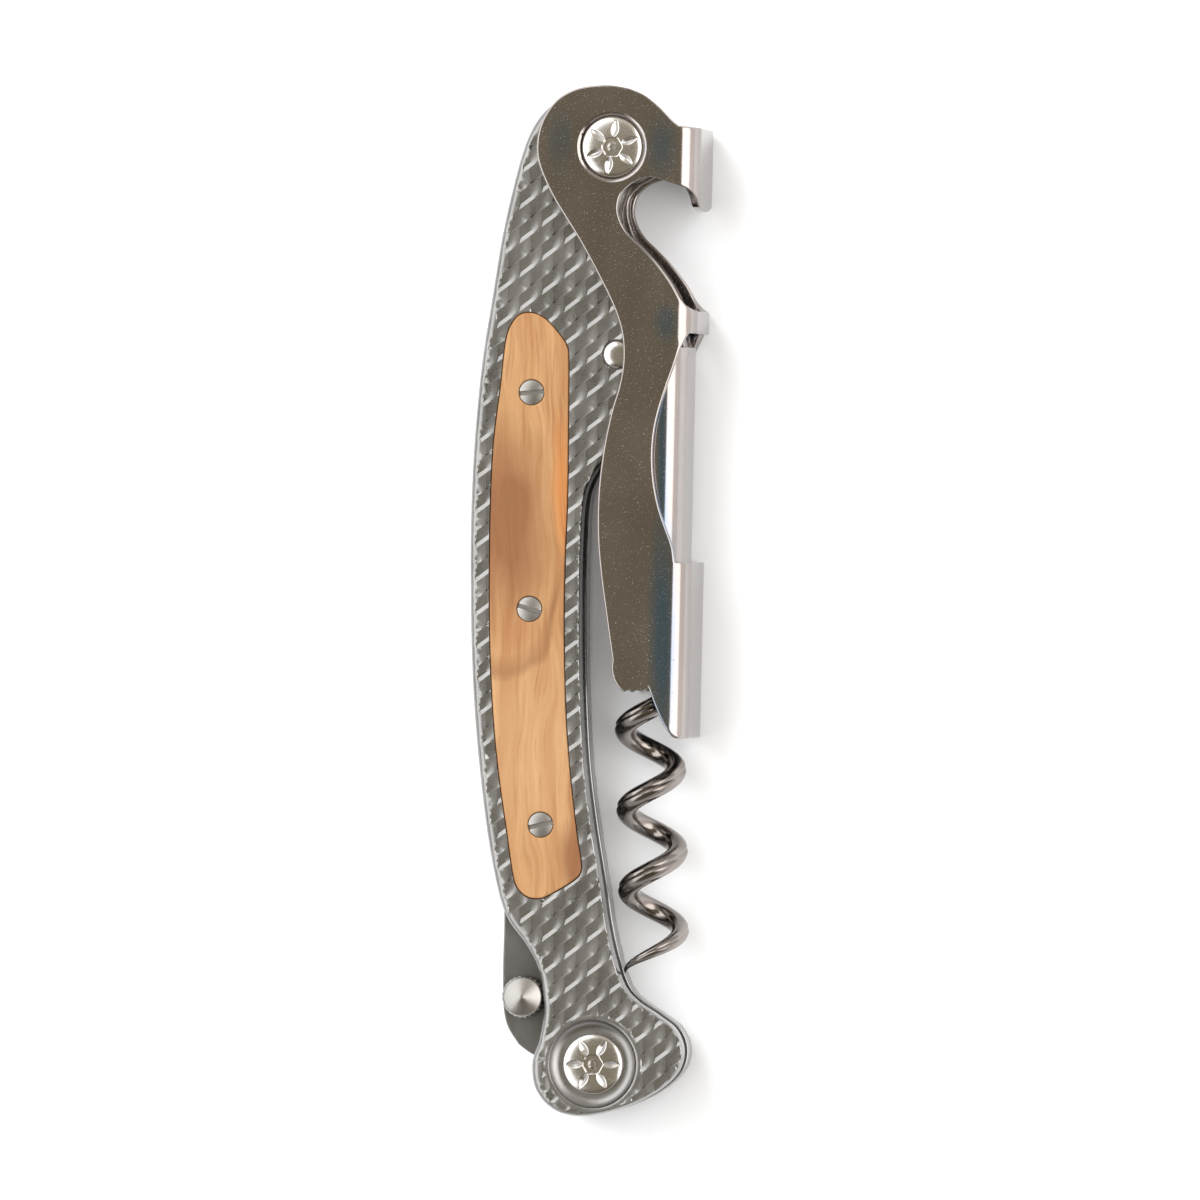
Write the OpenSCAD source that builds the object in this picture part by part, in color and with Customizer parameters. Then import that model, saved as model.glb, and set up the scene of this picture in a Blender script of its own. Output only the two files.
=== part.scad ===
// Lever corkscrew of the folding kind, closed and lying flat.
// +Y runs from the blade pivot to the lever pivot, +X points to the folded edge of the lever,
// and +Z points up through the front scale. The origin is the centre of the closed object.

/* [Handle] */
// Thickness of the handle over both scales
handle_t = 9.0; // [8.8:0.1:9.2]
// Width of the slot between the two scales
slot_t = 3.0; // [2.9:0.05:3.1]
// Width of the polished edge band along the back of the handle
back_band = 0.9; // [0.5:0.1:1.0]
// Width of the polished edge band along the belly of the handle
belly_band = 0.15; // [0.1:0.05:0.4]
// Height over which the edge band is rounded
band_h = 0.8; // [0.5:0.1:1.0]
// Thickness of the wooden inlays
inlay_t = 1.5; // [1.3:0.1:1.6]
// Play around each inlay in its pocket
inlay_gap = 0.08; // [0.02:0.02:0.12]

/* [Pivots] */
// Outer radius of both pivot barrels
barrel_r = 2.0; // [1.8:0.1:2.2]
// Radial running clearance at every hinge
running = 0.05; // [0.02:0.01:0.08]
// Radius of the pivot heads
head_r = 3.5; // [3.2:0.1:3.7]
// Radius of the pin that the worm folds on
worm_pin_r = 1.25; // [1.1:0.05:1.4]
// Across-corners radius of the hexagon sockets
socket_r = 1.2; // [1.0:0.1:1.4]

/* [Levers] */
// Width over the outer lever's cheeks
lever_w = 14.2; // [14.0:0.1:14.6]
// Thickness of the sheet of both levers
sheet_t = 1.0; // [0.9:0.05:1.1]
// Distance from the outer lever's folded edge to the step lever's
step_inset = 1.3; // [1.25:0.05:1.5]
// Outer radius of the sheet's bends
bend_r = 2.4; // [2.0:0.1:2.6]
// Lean of the folded edge away from the long axis, in degrees
spine_tilt = 1.28; // [1.0:0.1:1.5]

/* [Worm] */
// Diameter of the worm's wire
wire_d = 2.4; // [2.2:0.1:2.5]
// Radius of the helix at the middle of the wire
helix_r = 2.95; // [2.8:0.05:3.0]
// Rise of the helix in one turn
helix_pitch = 9.4; // [9.2:0.1:9.6]
// Number of whole turns
turns = 5; // [4:1:5]

/* [Blade] */
// Thickness of the blade
blade_t = 1.8; // [1.6:0.1:1.9]
// Radius of the round tang about its pivot
tang_r = 4.6; // [4.4:0.1:4.6]
// Radius of the thumb stud
stud_r = 2.45; // [2.2:0.05:2.5]

/* [Hidden] */

$fn = 64;
// Play of a pin or screw that is fixed in its hole
fixed_play = 0.02;
half_t = handle_t / 2;
half_slot = slot_t / 2;
pocket_z = half_t - inlay_t;

lever_pivot = [3.43, 52.7];
blade_pivot = [0.8, -54.1];
worm_pivot = [3.64, 28.6];
stud_centre = blade_pivot + [-8.4, 7.8];
stop_centre = blade_pivot + [6.6, 0.5];
spring_rivet_centre = [-4.3, 2.0];
top_rivet_centre = [-7.5, 28.0];
middle_rivet_centres = [[-9.0, 14.0], [-9.0, 2.5]];
rivet_centres = concat([top_rivet_centre], middle_rivet_centres);
inlay_screw_centres = [[-6.4, 24.2], [-6.65, -1.05], [-5.35, -26.2]];
inlay_slot_angles = [5, -18, 13];
screw_head_r = 1.47;
screw_head_t = 0.9;
screw_shank_r = 0.75;
rivet_r = 1.0;
stop_r = 1.0;
spring_rivet_r = 0.8;
spring_lug_r = 1.7;
stud_shank_r = 1.1;
worm_pin_dome_h = 0.3;

// Recess for the heads of the blade pivot
ring_floor_z = half_t - 0.7;
ring_floor_r = 4.6;
ring_rim_r = 5.3;
dome_h = 0.35;
socket_depth = 0.6;
thread_r = 1.2;
thread_floor = 0.6;
thread_gap = 0.2;

// Levers: inner faces of the cheeks and the pressed seats for the lever pivot's heads
half_lever = lever_w / 2;
outer_inside = half_lever - sheet_t;
step_outside = outer_inside - 0.3;
seat_z = half_lever - 0.65;
seat_r = 4.1;

// Face outline of the handle, from the top of the lever pivot down the back and up the belly
handle_points = [
    [3.4, 58.9], [0.2, 58.7], [-2.6, 57.8], [-4.8, 55.9], [-6.4, 52.8], [-7.8, 47.9],
    [-9.1, 42.1], [-10.2, 35.4], [-11.4, 28.0], [-12.3, 19.0], [-12.75, 10.0],
    [-12.8, 1.2], [-12.6, -8.0], [-12.0, -17.0], [-10.9, -26.5], [-9.6, -33.6],
    [-8.4, -37.0], [-6.4, -39.8], [-4.95, -42.5], [-4.3, -45.6], [-4.2, -48.3],
    [-4.7, -51.4], [-5.5, -53.9], [-5.3, -56.4], [-4.1, -58.3], [-2.2, -59.4],
    [0.6, -59.6], [4.4, -58.7], [8.0, -57.0], [10.4, -54.9], [11.1, -52.6],
    [10.3, -50.4], [8.3, -48.8], [5.8, -47.1], [4.2, -45.2], [3.1, -42.0],
    [2.2, -37.9], [1.4, -32.5], [0.3, -25.5], [-0.5, -18.5], [-0.9, -10.0],
    [-1.0, -1.0], [-0.85, 7.0], [-0.35, 12.4], [1.4, 16.0], [4.2, 19.3], [6.1, 23.4],
    [6.9, 28.4], [6.1, 33.9], [4.4, 39.0], [3.0, 43.2], [2.8, 45.9], [3.9, 48.5],
    [5.8, 49.6], [7.3, 51.3], [7.7, 53.6], [7.0, 56.3], [5.6, 58.2],
];

// Outline of the wooden inlays
inlay_points = [
    [-9.4, 30.4], [-10.1, 24.5], [-10.85, 18.7], [-11.2, 12.4], [-11.35, 4.0],
    [-11.3, -5.0], [-10.95, -13.0], [-10.3, -20.0], [-9.4, -26.4], [-8.7, -31.3],
    [-8.2, -33.3], [-7.1, -34.5], [-5.65, -34.8], [-4.2, -34.3], [-1.5, -32.7],
    [-0.65, -31.7], [-0.62, -30.3], [-1.2, -26.4], [-1.9, -20.0], [-2.4, -13.0],
    [-2.6, -4.0], [-2.5, 4.1], [-2.2, 11.7], [-2.1, 18.7], [-2.05, 27.6],
    [-2.25, 29.6], [-3.3, 31.2], [-4.7, 32.7], [-6.0, 33.4], [-7.3, 33.45],
    [-8.4, 32.7],
];

top_spacer_points = [
    [3.4, 58.3], [0.2, 58.0], [-2.5, 57.0], [-4.4, 55.0], [-6.2, 51.6], [-7.6, 46.0],
    [-9.0, 40.0], [-10.1, 33.5], [-10.9, 27.5], [-9.8, 24.8], [-7.4, 24.3], [-5.0, 25.4],
    [-4.0, 28.8], [-2.6, 32.0], [0.4, 33.2], [2.8, 33.4], [5.0, 33.8], [4.3, 36.6],
    [3.3, 39.8], [2.3, 43.2], [2.2, 46.0], [3.5, 49.1], [5.6, 50.2], [6.8, 51.7],
    [7.1, 53.6], [6.4, 55.9], [5.2, 57.6],
];

middle_spacer_points = [
    [-8.4, 21.6], [-10.6, 20.8], [-11.6, 17.0], [-12.0, 9.0], [-12.0, 1.0], [-11.0, -2.5],
    [-8.8, -3.8], [-7.0, -2.2], [-6.7, 2.0], [-6.3, 8.0], [-5.9, 15.0], [-6.4, 20.2],
];

// Middle line of the leaf spring, from the worm's eye to the blade's tang
spring_points = [
    [-0.6, 30.6], [-0.7, 27.0], [-1.3, 20.0], [-2.4, 11.0], [-2.9, 2.0], [-2.7, -8.0],
    [-2.0, -18.0], [-1.0, -27.0], [0.3, -35.0], [1.6, -42.0], [2.5, -48.9],
];
spring_half_w = 1.1;

// Outer lever: stretches of the outline that meet at corners
outer_left = [
    [5.5, 59.5], [3.0, 59.9], [-0.3, 59.6], [-2.7, 58.5], [-4.2, 56.8], [-5.1, 54.8],
    [-5.4, 52.6], [-5.1, 50.6], [-4.3, 48.6], [-3.3, 46.6], [-1.95, 44.4], [-0.5, 42.1],
    [0.9, 39.6], [2.1, 37.3], [3.24, 35.0], [4.07, 33.0], [4.6, 31.0], [4.78, 29.0],
    [4.66, 26.9], [4.2, 24.6], [3.4, 22.0], [2.53, 18.0], [1.88, 13.0], [1.75, 8.0],
    [2.06, 3.5], [2.8, -2.2], [3.48, -7.0],
];
outer_toe = [[3.36, -7.9], [3.6, -9.1], [4.2, -10.2], [4.9, -10.7]];
outer_scallops = [[4.9, -10.7], [5.3, -10.5], [5.8, -10.75], [6.35, -10.5], [6.95, -10.7]];
outer_boot = [
    [7.67, -10.05], [8.3, -11.8], [9.1, -13.7], [9.9, -15.1], [10.6, -15.8], [11.3, -16.1],
];
outer_window = [
    [10.9, 4.4], [10.6, 6.1], [9.9, 8.0], [9.0, 10.6], [8.4, 13.6], [8.2, 16.6],
    [8.4, 19.4], [8.9, 21.8], [9.7, 24.4], [10.6, 26.9], [11.5, 29.2], [12.5, 31.0],
];
outer_mouth = [
    [12.2, 34.2], [11.3, 35.3], [10.2, 37.1], [8.6, 39.2], [6.9, 41.0], [5.3, 42.6],
    [4.4, 44.2], [4.13, 45.7], [4.5, 47.2], [5.5, 48.3], [6.8, 49.0], [8.1, 49.2],
    [9.4, 48.8], [10.6, 48.4], [11.6, 48.1], [12.3, 47.8], [12.9, 47.3], [13.3, 46.6],
];
outer_crown = [
    [11.3, 55.1], [10.5, 55.75], [9.75, 56.55], [8.7, 57.6], [7.2, 58.75], [5.5, 59.5],
];
// The back cheek's crown is narrower, as nothing of it shows beside the front one
above_crown_y = 61;
back_crown = [
    [14.0, 54.95], [9.5, 54.95], [8.9, 55.6], [8.1, 56.5], [7.0, 57.6], [5.6, 58.75], [4.2, 59.55],
];
boot_y = -16.1;
window_y = 4.4;
tab_low_y = 31.0;
tab_high_y = 33.6;
hook_low_y = 45.75;
hook_high_y = 54.9;
lip_y = 45.25;

// Step lever: stretches of the outline that meet at corners
step_left = [
    [3.4, 58.2], [-0.2, 57.6], [-2.4, 56.0], [-3.4, 53.2], [-3.2, 50.2], [-2.0, 47.0],
    [-0.1, 43.6], [1.8, 40.2], [3.6, 36.8], [5.0, 33.6], [5.7, 30.4], [5.8, 27.2],
    [5.0, 23.2], [3.9, 18.8], [3.3, 14.0], [3.3, 9.4],
];
step_toe = [[3.3, 9.4], [3.8, 7.6], [5.2, 6.9], [7.0, 6.9]];
step_boot = [[7.6, 7.5], [8.1, 5.7], [8.9, 4.2], [9.7, 3.4], [10.3, 3.2]];
step_right = [
    [10.6, 31.0], [10.3, 33.6], [9.5, 35.8], [7.7, 38.6], [5.9, 40.8], [4.5, 42.4],
    [3.8, 44.2], [3.6, 45.8], [3.9, 47.2], [5.1, 48.5], [6.6, 49.3], [7.9, 50.6],
    [8.6, 52.8], [8.1, 55.4], [6.3, 57.4], [3.4, 58.2],
];
step_low_y = 3.2;
step_high_y = 29.5;

// Foot of the folded edge's outer face, where the levers' own frame starts
spine_foot = [12.3, -8.0];

// Blade: back from the tang to the tip, and the cutting edge from the tip to the tang
blade_heel = [[-5.6, -53.5], [-6.4, -53.25], [-7.3, -52.8], [-8.5, -51.9]];
blade_back = [
    [-8.5, -51.9], [-9.7, -50.0], [-10.25, -47.8], [-10.35, -43.4], [-10.2, -38.0],
    [-10.2, -32.0], [-10.2, -26.5], [-9.6, -20.0], [-8.2, -13.5], [-6.7, -9.6],
    [-5.3, -7.6],
];
blade_edge = [[-5.3, -7.6], [-4.5, -11.5], [-3.8, -19.0], [-2.8, -28.0], [-1.5, -36.0]];
blade_ricasso = [[-1.5, -36.0], [-0.5, -41.5], [0.2, -45.0], [0.8, -49.5]];
tooth_depth = 0.35;
teeth_per_stretch = 3;
steps_per_tooth = 5;
stretch_steps = teeth_per_stretch * steps_per_tooth;

// Worm: middle line of the wire
worm_tip_y = -43.5;
ease_in = 4.0;
worm_top_y = worm_pivot[1] - 1.75;
helix_top_y = worm_tip_y + turns * helix_pitch + ease_in / 2;
taper_length = 0.8 * helix_pitch;
tip_r = 0.12;
eye_r = 3.0;
shank_rings = 6;
helix_rings = 18 * turns;
wire_sides = 10;

// Direction of a vector, with length one
function unit(v) = v / norm(v);

// Last point of a list
function last(p) = p[len(p) - 1];

// Point at t, from 0 to 1, on the smooth curve that runs from b to c, with neighbours a and d
function curve_point(a, b, c, d, t) =
    0.5 * (2 * b + (c - a) * t + (2 * a - 5 * b + 4 * c - d) * t * t
    + (3 * b - a - 3 * c + d) * t * t * t);

// Open smooth curve through the points p, n steps apart, without its last point
function stretch(p, n = 2) = [
    for (i = [0 : len(p) - 2])
        for (k = [0 : n - 1])
            curve_point(p[max(i - 1, 0)], p[i], p[i + 1], p[min(i + 2, len(p) - 1)], k / n)
];

// Closed smooth curve through the points p
function loop(p, n = 2) = [
    for (i = [0 : len(p) - 1])
        for (k = [0 : n - 1])
            curve_point(
                p[(i + len(p) - 1) % len(p)], p[i], p[(i + 1) % len(p)],
                p[(i + 2) % len(p)], k / n)
];

// Outward normal of a closed counterclockwise outline at its point i
function normal_at(p, i) =
    let (t = unit(p[(i + 1) % len(p)] - p[(i + len(p) - 1) % len(p)]))
    [t[1], -t[0]];

// Outline grown by a width that goes from w_back on the -X side to w_belly on the +X side
function grown(p, w_back, w_belly) = [
    for (i = [0 : len(p) - 1])
        let (n = normal_at(p, i))
        p[i] + ((w_back + w_belly) / 2 - (w_back - w_belly) / 2 * n[0]) * n
];

// Strip of half-width w to both sides of an open middle line
function strip(line, w) = concat(
    [for (i = [0 : len(line) - 1]) line[i] + w * line_normal(line, i)],
    [for (i = [len(line) - 1 : -1 : 0]) line[i] - w * line_normal(line, i)]
);
function line_normal(line, i) =
    let (t = unit(line[min(i + 1, len(line) - 1)] - line[max(i - 1, 0)]))
    [t[1], -t[0]];

// Outer face of the folded edge, inset inwards, at the height y
function spine_x(y, inset = 0) = spine_foot[0] - inset + (y - spine_foot[1]) * tan(spine_tilt);

handle_face = loop(handle_points);
inlay_outline = loop(inlay_points);

// Extrusion between two heights
module slab(points, z0, z1) {
    translate([0, 0, z0])
        linear_extrude(z1 - z0)
            polygon(points);
}

// Round hole or pin at a place, between two heights
module rod(centre, r, z0, z1) {
    translate([centre[0], centre[1], z0])
        cylinder(r = r, h = z1 - z0);
}

// One scale: a plate with a rounded edge band, a pocket and its holes
module scale_half() {
    band_steps = 4;
    difference() {
        union() {
            slab(grown(handle_face, back_band, belly_band), half_slot, half_t - band_h);
            for (k = [1 : band_steps]) {
                share = cos(90 * (k - 0.5) / band_steps);
                top_z = half_t - band_h * (1 - sin(90 * k / band_steps));
                slab(grown(handle_face, back_band * share, belly_band * share), half_slot, top_z);
            }
        }
        slab(grown(inlay_outline, inlay_gap, inlay_gap), pocket_z, half_t + 1);
        rod(lever_pivot, barrel_r + fixed_play, 0, half_t + 1);
        rod(blade_pivot, barrel_r + fixed_play, 0, half_t + 1);
        rod(blade_pivot, ring_floor_r, ring_floor_z, half_t + 1);
        translate([blade_pivot[0], blade_pivot[1], half_t - 0.4])
            cylinder(r1 = ring_floor_r, r2 = ring_rim_r + 0.07, h = 0.44);
        rod(worm_pivot, worm_pin_r + fixed_play, 0, half_t + 1);
        rod(worm_pivot, worm_pin_r + 0.5, half_t - 0.5, half_t + 1);
        rod(stop_centre, stop_r + fixed_play, 0, half_t - 1.5);
        rod(spring_rivet_centre, spring_rivet_r + fixed_play, 0, half_t);
        for (c = rivet_centres)
            rod(c, rivet_r + fixed_play, 0, half_t);
        for (c = inlay_screw_centres)
            rod(c, screw_shank_r + fixed_play, half_slot + 0.1, half_t);
    }
}

module inlay_half() {
    difference() {
        slab(inlay_outline, pocket_z + fixed_play, half_t);
        for (c = inlay_screw_centres) {
            rod(c, screw_shank_r + fixed_play, 0, half_t + 1);
            rod(c, screw_head_r + fixed_play, half_t - screw_head_t, half_t + 1);
        }
    }
}

// Small screws with slotted heads, flush with the wood
module inlay_screws_half() {
    slot_w = 0.45;
    slot_h = 0.4;
    for (i = [0 : len(inlay_screw_centres) - 1]) {
        c = inlay_screw_centres[i];
        difference() {
            union() {
                rod(c, screw_head_r, half_t - screw_head_t + fixed_play, half_t);
                rod(c, screw_shank_r, half_slot + 0.2, half_t - screw_head_t + 0.1);
            }
            translate([c[0], c[1], half_t])
                rotate(inlay_slot_angles[i])
                    cube([4 * screw_head_r, slot_w, 2 * slot_h], center = true);
        }
    }
}

module front_scale() {
    color("silver") scale_half();
}

module back_scale() {
    color("silver") mirror([0, 0, 1]) scale_half();
}

module front_inlay() {
    color("burlywood") inlay_half();
}

module back_inlay() {
    color("burlywood") mirror([0, 0, 1]) inlay_half();
}

module front_inlay_screws() {
    color("lightgray") inlay_screws_half();
}

module back_inlay_screws() {
    color("lightgray") mirror([0, 0, 1]) inlay_screws_half();
}

module top_spacer() {
    color("gray")
        difference() {
            slab(loop(top_spacer_points), -half_slot, half_slot);
            rod(lever_pivot, barrel_r + fixed_play, -slot_t, slot_t);
            rod(top_rivet_centre, rivet_r + fixed_play, -slot_t, slot_t);
        }
}

module middle_spacer() {
    color("gray")
        difference() {
            slab(loop(middle_spacer_points), -half_slot, half_slot);
            for (c = middle_rivet_centres)
                rod(c, rivet_r + fixed_play, -slot_t, slot_t);
        }
}

// Leaf spring with a lug for its rivet
module back_spring() {
    play = 0.1;
    line = concat(stretch(spring_points), [last(spring_points)]);
    color("dimgray")
        difference() {
            union() {
                slab(strip(line, -spring_half_w), play - half_slot, half_slot - play);
                rod(spring_rivet_centre, spring_lug_r, play - half_slot, half_slot - play);
            }
            rod(spring_rivet_centre, spring_rivet_r + fixed_play, -slot_t, slot_t);
        }
}

module spring_rivet() {
    color("gray") rod(spring_rivet_centre, spring_rivet_r, -pocket_z, pocket_z);
}

module frame_rivets() {
    color("gray")
        for (c = rivet_centres)
            rod(c, rivet_r, -pocket_z, pocket_z);
}

// Half profile of a shallow dome on a disc, for turning about Z
function dome_profile(r, z0, z1, rise) = concat(
    [[0, z0], [r, z0]],
    [for (k = [0 : 6]) [r * cos(15 * k), z1 + rise * sin(15 * k)]]
);

module dome(centre, r, z0, z1, rise) {
    translate([centre[0], centre[1], 0])
        rotate_extrude()
            polygon(dome_profile(r, z0, z1, rise));
}

// Rivet with a low dome at each end, sunk in the scales
module worm_pin() {
    pin_head_r = worm_pin_r + 0.35;
    color("silver") {
        rod(worm_pivot, worm_pin_r, -half_t, half_t);
        for (side = [0, 1])
            mirror([0, 0, side])
                dome(worm_pivot, pin_head_r, half_t - 0.48, half_t - 0.15, worm_pin_dome_h);
    }
}

// Head of a pivot with its hexagon socket, between two heights
module pivot_head(centre, z0, z1, rise) {
    difference() {
        dome(centre, head_r, z0, z1, rise);
        translate([centre[0], centre[1], z1 + rise - socket_depth])
            cylinder(r = socket_r, h = 1, $fn = 6);
    }
}

// Headed barrel nut: the tube and the back head
module pivot_barrel(centre, head_z0, head_z1, rise, tube_end) {
    difference() {
        rod(centre, barrel_r, -head_z0 - 0.1, tube_end);
        rod(centre, thread_r + fixed_play, thread_floor - head_z0, tube_end + 1);
    }
    mirror([0, 0, 1])
        pivot_head(centre, head_z0, head_z1, rise);
}

// Headed screw: the front head and the shank inside the barrel
module pivot_screw(centre, head_z0, head_z1, rise) {
    rod(centre, thread_r, thread_floor + thread_gap - head_z0, head_z0 + 0.05);
    pivot_head(centre, head_z0, head_z1, rise);
}

module lever_pivot_barrel() {
    color("lightgray")
        pivot_barrel(lever_pivot, seat_z + 0.03, half_lever - 0.4, dome_h, seat_z);
}

module lever_pivot_screw() {
    color("lightgray")
        pivot_screw(lever_pivot, seat_z + 0.03, half_lever - 0.4, dome_h);
}

module blade_pivot_barrel() {
    color("lightgray")
        pivot_barrel(blade_pivot, ring_floor_z + fixed_play, half_t - 0.1, dome_h, ring_floor_z);
}

module blade_pivot_screw() {
    color("lightgray")
        pivot_screw(blade_pivot, ring_floor_z + fixed_play, half_t - 0.1, dome_h);
}

module blade_washers() {
    color("goldenrod")
        for (side = [0, 1])
            mirror([0, 0, side])
                difference() {
                    rod(blade_pivot, 4.2, blade_t / 2 + 0.05, half_slot - fixed_play);
                    rod(blade_pivot, barrel_r + fixed_play, 0, slot_t);
                }
}

module blade_stop_pin() {
    color("gray") rod(stop_centre, stop_r, -(half_t - 1.5), half_t - 1.5);
}

// The levers' own frame: local Y runs up the outer face of the folded edge
module spine_frame() {
    translate([spine_foot[0], spine_foot[1], 0])
        rotate(-spine_tilt)
            children();
}

// Long bar along the folded edge with rounded bends, outer face at -inset, half-width hw
module bent_bar(inset, hw, r) {
    reach = 40;
    bend_steps = 6;
    bend = [for (k = [0 : bend_steps]) r * [cos(90 * k / bend_steps), sin(90 * k / bend_steps)]];
    profile = concat(
        [[-reach, -hw]],
        [for (k = [bend_steps : -1 : 0]) [bend[k][0] - r - inset, r - hw - bend[k][1]]],
        [for (p = bend) [p[0] - r - inset, hw - r + p[1]]],
        [[-reach, hw]]
    );
    spine_frame()
        translate([0, 2 * reach, 0])
            rotate([90, 0, 0])
                linear_extrude(3 * reach)
                    polygon(profile);
}

// Folded sheet: the outline cut from a rounded bar, hollowed to the sheet's thickness
module folded_sheet(points, inset, hw) {
    difference() {
        intersection() {
            slab(points, -hw, hw);
            bent_bar(inset, hw, bend_r);
        }
        bent_bar(inset + sheet_t, hw - sheet_t, bend_r - sheet_t);
    }
}

outer_outline = concat(
    stretch(outer_left), [last(outer_left)],
    stretch(outer_toe), stretch(outer_scallops), [last(outer_scallops)],
    stretch(outer_boot), [last(outer_boot)],
    [[spine_x(boot_y), boot_y], [spine_x(window_y), window_y]],
    stretch(outer_window), [last(outer_window)],
    [[spine_x(tab_low_y), tab_low_y], [spine_x(tab_high_y), tab_high_y]],
    stretch(outer_mouth), [last(outer_mouth)],
    [[spine_x(hook_low_y), hook_low_y], [spine_x(hook_high_y), hook_high_y]],
    stretch(outer_crown)
);

// What is cut from the back cheek beside its crown
back_crown_offcut = concat(
    stretch(back_crown), [last(back_crown)],
    [[last(back_crown)[0], above_crown_y], [back_crown[0][0], above_crown_y]]
);

step_outline = concat(
    stretch(step_left), stretch(step_toe), [last(step_toe)],
    stretch(step_boot), [last(step_boot)],
    [[spine_x(step_low_y, step_inset), step_low_y]],
    [[spine_x(step_high_y, step_inset), step_high_y]],
    [[10.8, step_high_y]],
    stretch(step_right)
);

// Lip of the cap lifter: the flat of the folded edge runs on below the hook in a shallow curve
module cap_lip() {
    lip_half_w = half_lever - bend_r;
    lip = concat(
        [[-lip_half_w, hook_high_y - 2]],
        [for (k = [-4 : 4]) [lip_half_w * k / 4, lip_y + (hook_low_y - lip_y) * pow(k / 4, 2)]],
        [[lip_half_w, hook_high_y - 2]]
    );
    spine_frame()
        translate([-sheet_t, -spine_foot[1], 0])
            rotate([90, 0, 90])
                linear_extrude(sheet_t)
                    polygon([for (p = lip) [p[1], p[0]]]);
}

module outer_lever() {
    color("dimgray")
        difference() {
            union() {
                folded_sheet(outer_outline, 0, half_lever);
                cap_lip();
            }
            slab(back_crown_offcut, -half_lever - 1, 0);
            rod(lever_pivot, barrel_r + running, -half_lever, half_lever);
            for (side = [0, 1])
                mirror([0, 0, side])
                    rod(lever_pivot, seat_r, seat_z, half_lever + 1);
        }
}

module step_lever() {
    color("gainsboro")
        difference() {
            folded_sheet(step_outline, step_inset, step_outside);
            rod(lever_pivot, barrel_r + running, -half_lever, half_lever);
        }
}

// Worm: everything about the wire's middle line follows from the height y
function axis_x(y) = 6.6 - 0.0208 * y;
function turn_angle(y) =
    let (u = helix_top_y - y)
    u < 0 ? 0 : 360 / helix_pitch * (u < ease_in ? u * u / (2 * ease_in) : u - ease_in / 2);
function wire_r(y) =
    let (s = min(1, (y - worm_tip_y) / taper_length))
    tip_r + (wire_d / 2 - tip_r) * sin(90 * s);
function wire_point(y) =
    let (a = -90 - turn_angle(y), r = helix_r + 0.5 * (wire_d / 2 - wire_r(y)))
    [axis_x(y) + r * sin(a), y, r * cos(a)];
function radial(y) =
    let (a = -90 - turn_angle(y))
    [sin(a), 0, cos(a)];
function tangent(y) = unit(wire_point(y - 0.02) - wire_point(y + 0.02));
function ring(y) =
    let (t = tangent(y), n = unit(radial(y) - (radial(y) * t) * t), b = cross(t, n))
    [for (k = [0 : wire_sides - 1])
        wire_point(y) + wire_r(y) * (cos(360 * k / wire_sides) * n + sin(360 * k / wire_sides) * b)];

module worm() {
    ring_heights = concat(
        [for (i = [0 : shank_rings - 1]) worm_top_y + (helix_top_y - worm_top_y) * i / shank_rings],
        [for (i = [0 : helix_rings]) helix_top_y + (worm_tip_y - helix_top_y) * i / helix_rings]
    );
    rings = [for (y = ring_heights) each ring(y)];
    tip_start = len(rings) - wire_sides;
    side_faces = [
        for (i = [0 : len(ring_heights) - 2])
            for (k = [0 : wire_sides - 1])
                let (a = i * wire_sides, j = (k + 1) % wire_sides)
                each [
                    [a + j, a + k, a + wire_sides + k],
                    [a + wire_sides + j, a + j, a + wire_sides + k],
                ]
    ];
    top_face = [for (k = [0 : wire_sides - 1]) k];
    tip_face = [for (k = [wire_sides - 1 : -1 : 0]) tip_start + k];
    color("dimgray") {
        polyhedron(rings, concat(side_faces, [top_face, tip_face]));
        difference() {
            rod(worm_pivot, eye_r, -wire_d / 2, wire_d / 2);
            rod(worm_pivot, worm_pin_r + running, -wire_d, wire_d);
        }
    }
}

// Fine serrations along a stretch of the blade's edge
function serrated(p) =
    let (line = concat(stretch(p, stretch_steps), [last(p)]))
    [for (i = [0 : len(line) - 2])
        line[i] + tooth_depth * abs(sin(180 * i / steps_per_tooth)) * line_normal(line, i) * -1];

module blade() {
    contour = concat(
        stretch(blade_heel), stretch(blade_back), serrated(blade_edge), stretch(blade_ricasso)
    );
    body = concat([blade_pivot], [for (i = [len(contour) - 1 : -1 : 0]) contour[i]]);
    color("gray")
        difference() {
            union() {
                slab(body, -blade_t / 2, blade_t / 2);
                rod(blade_pivot, tang_r, -blade_t / 2, blade_t / 2);
            }
            rod(blade_pivot, barrel_r + running, -blade_t, blade_t);
            rod(stud_centre, stud_shank_r + fixed_play, -blade_t, blade_t);
        }
}

// Stud screwed into the blade, with a ribbed rim and a low dome
module thumb_stud() {
    ribs = 24;
    groove_r = 0.12;
    groove_z = 1.4;
    rim_z = 3.7;
    color("silver")
        difference() {
            union() {
                rod(stud_centre, stud_shank_r, -blade_t / 2, blade_t / 2 + 0.1);
                dome(stud_centre, stud_r, blade_t / 2 + fixed_play, rim_z, 1.0);
            }
            for (k = [0 : ribs - 1]) {
                a = 360 * k / ribs;
                rod(stud_centre + stud_r * [cos(a), sin(a)], groove_r, groove_z, rim_z + 0.2);
            }
        }
}

front_scale();
back_scale();
front_inlay();
back_inlay();
front_inlay_screws();
back_inlay_screws();
top_spacer();
middle_spacer();
back_spring();
spring_rivet();
frame_rivets();
worm_pin();
lever_pivot_barrel();
lever_pivot_screw();
blade_pivot_barrel();
blade_pivot_screw();
blade_washers();
blade_stop_pin();
outer_lever();
step_lever();
worm();
blade();
thumb_stud();
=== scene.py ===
import math
import bmesh
import bpy
import numpy as np
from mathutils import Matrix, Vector, kdtree
from mathutils.geometry import delaunay_2d_cdt


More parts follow.
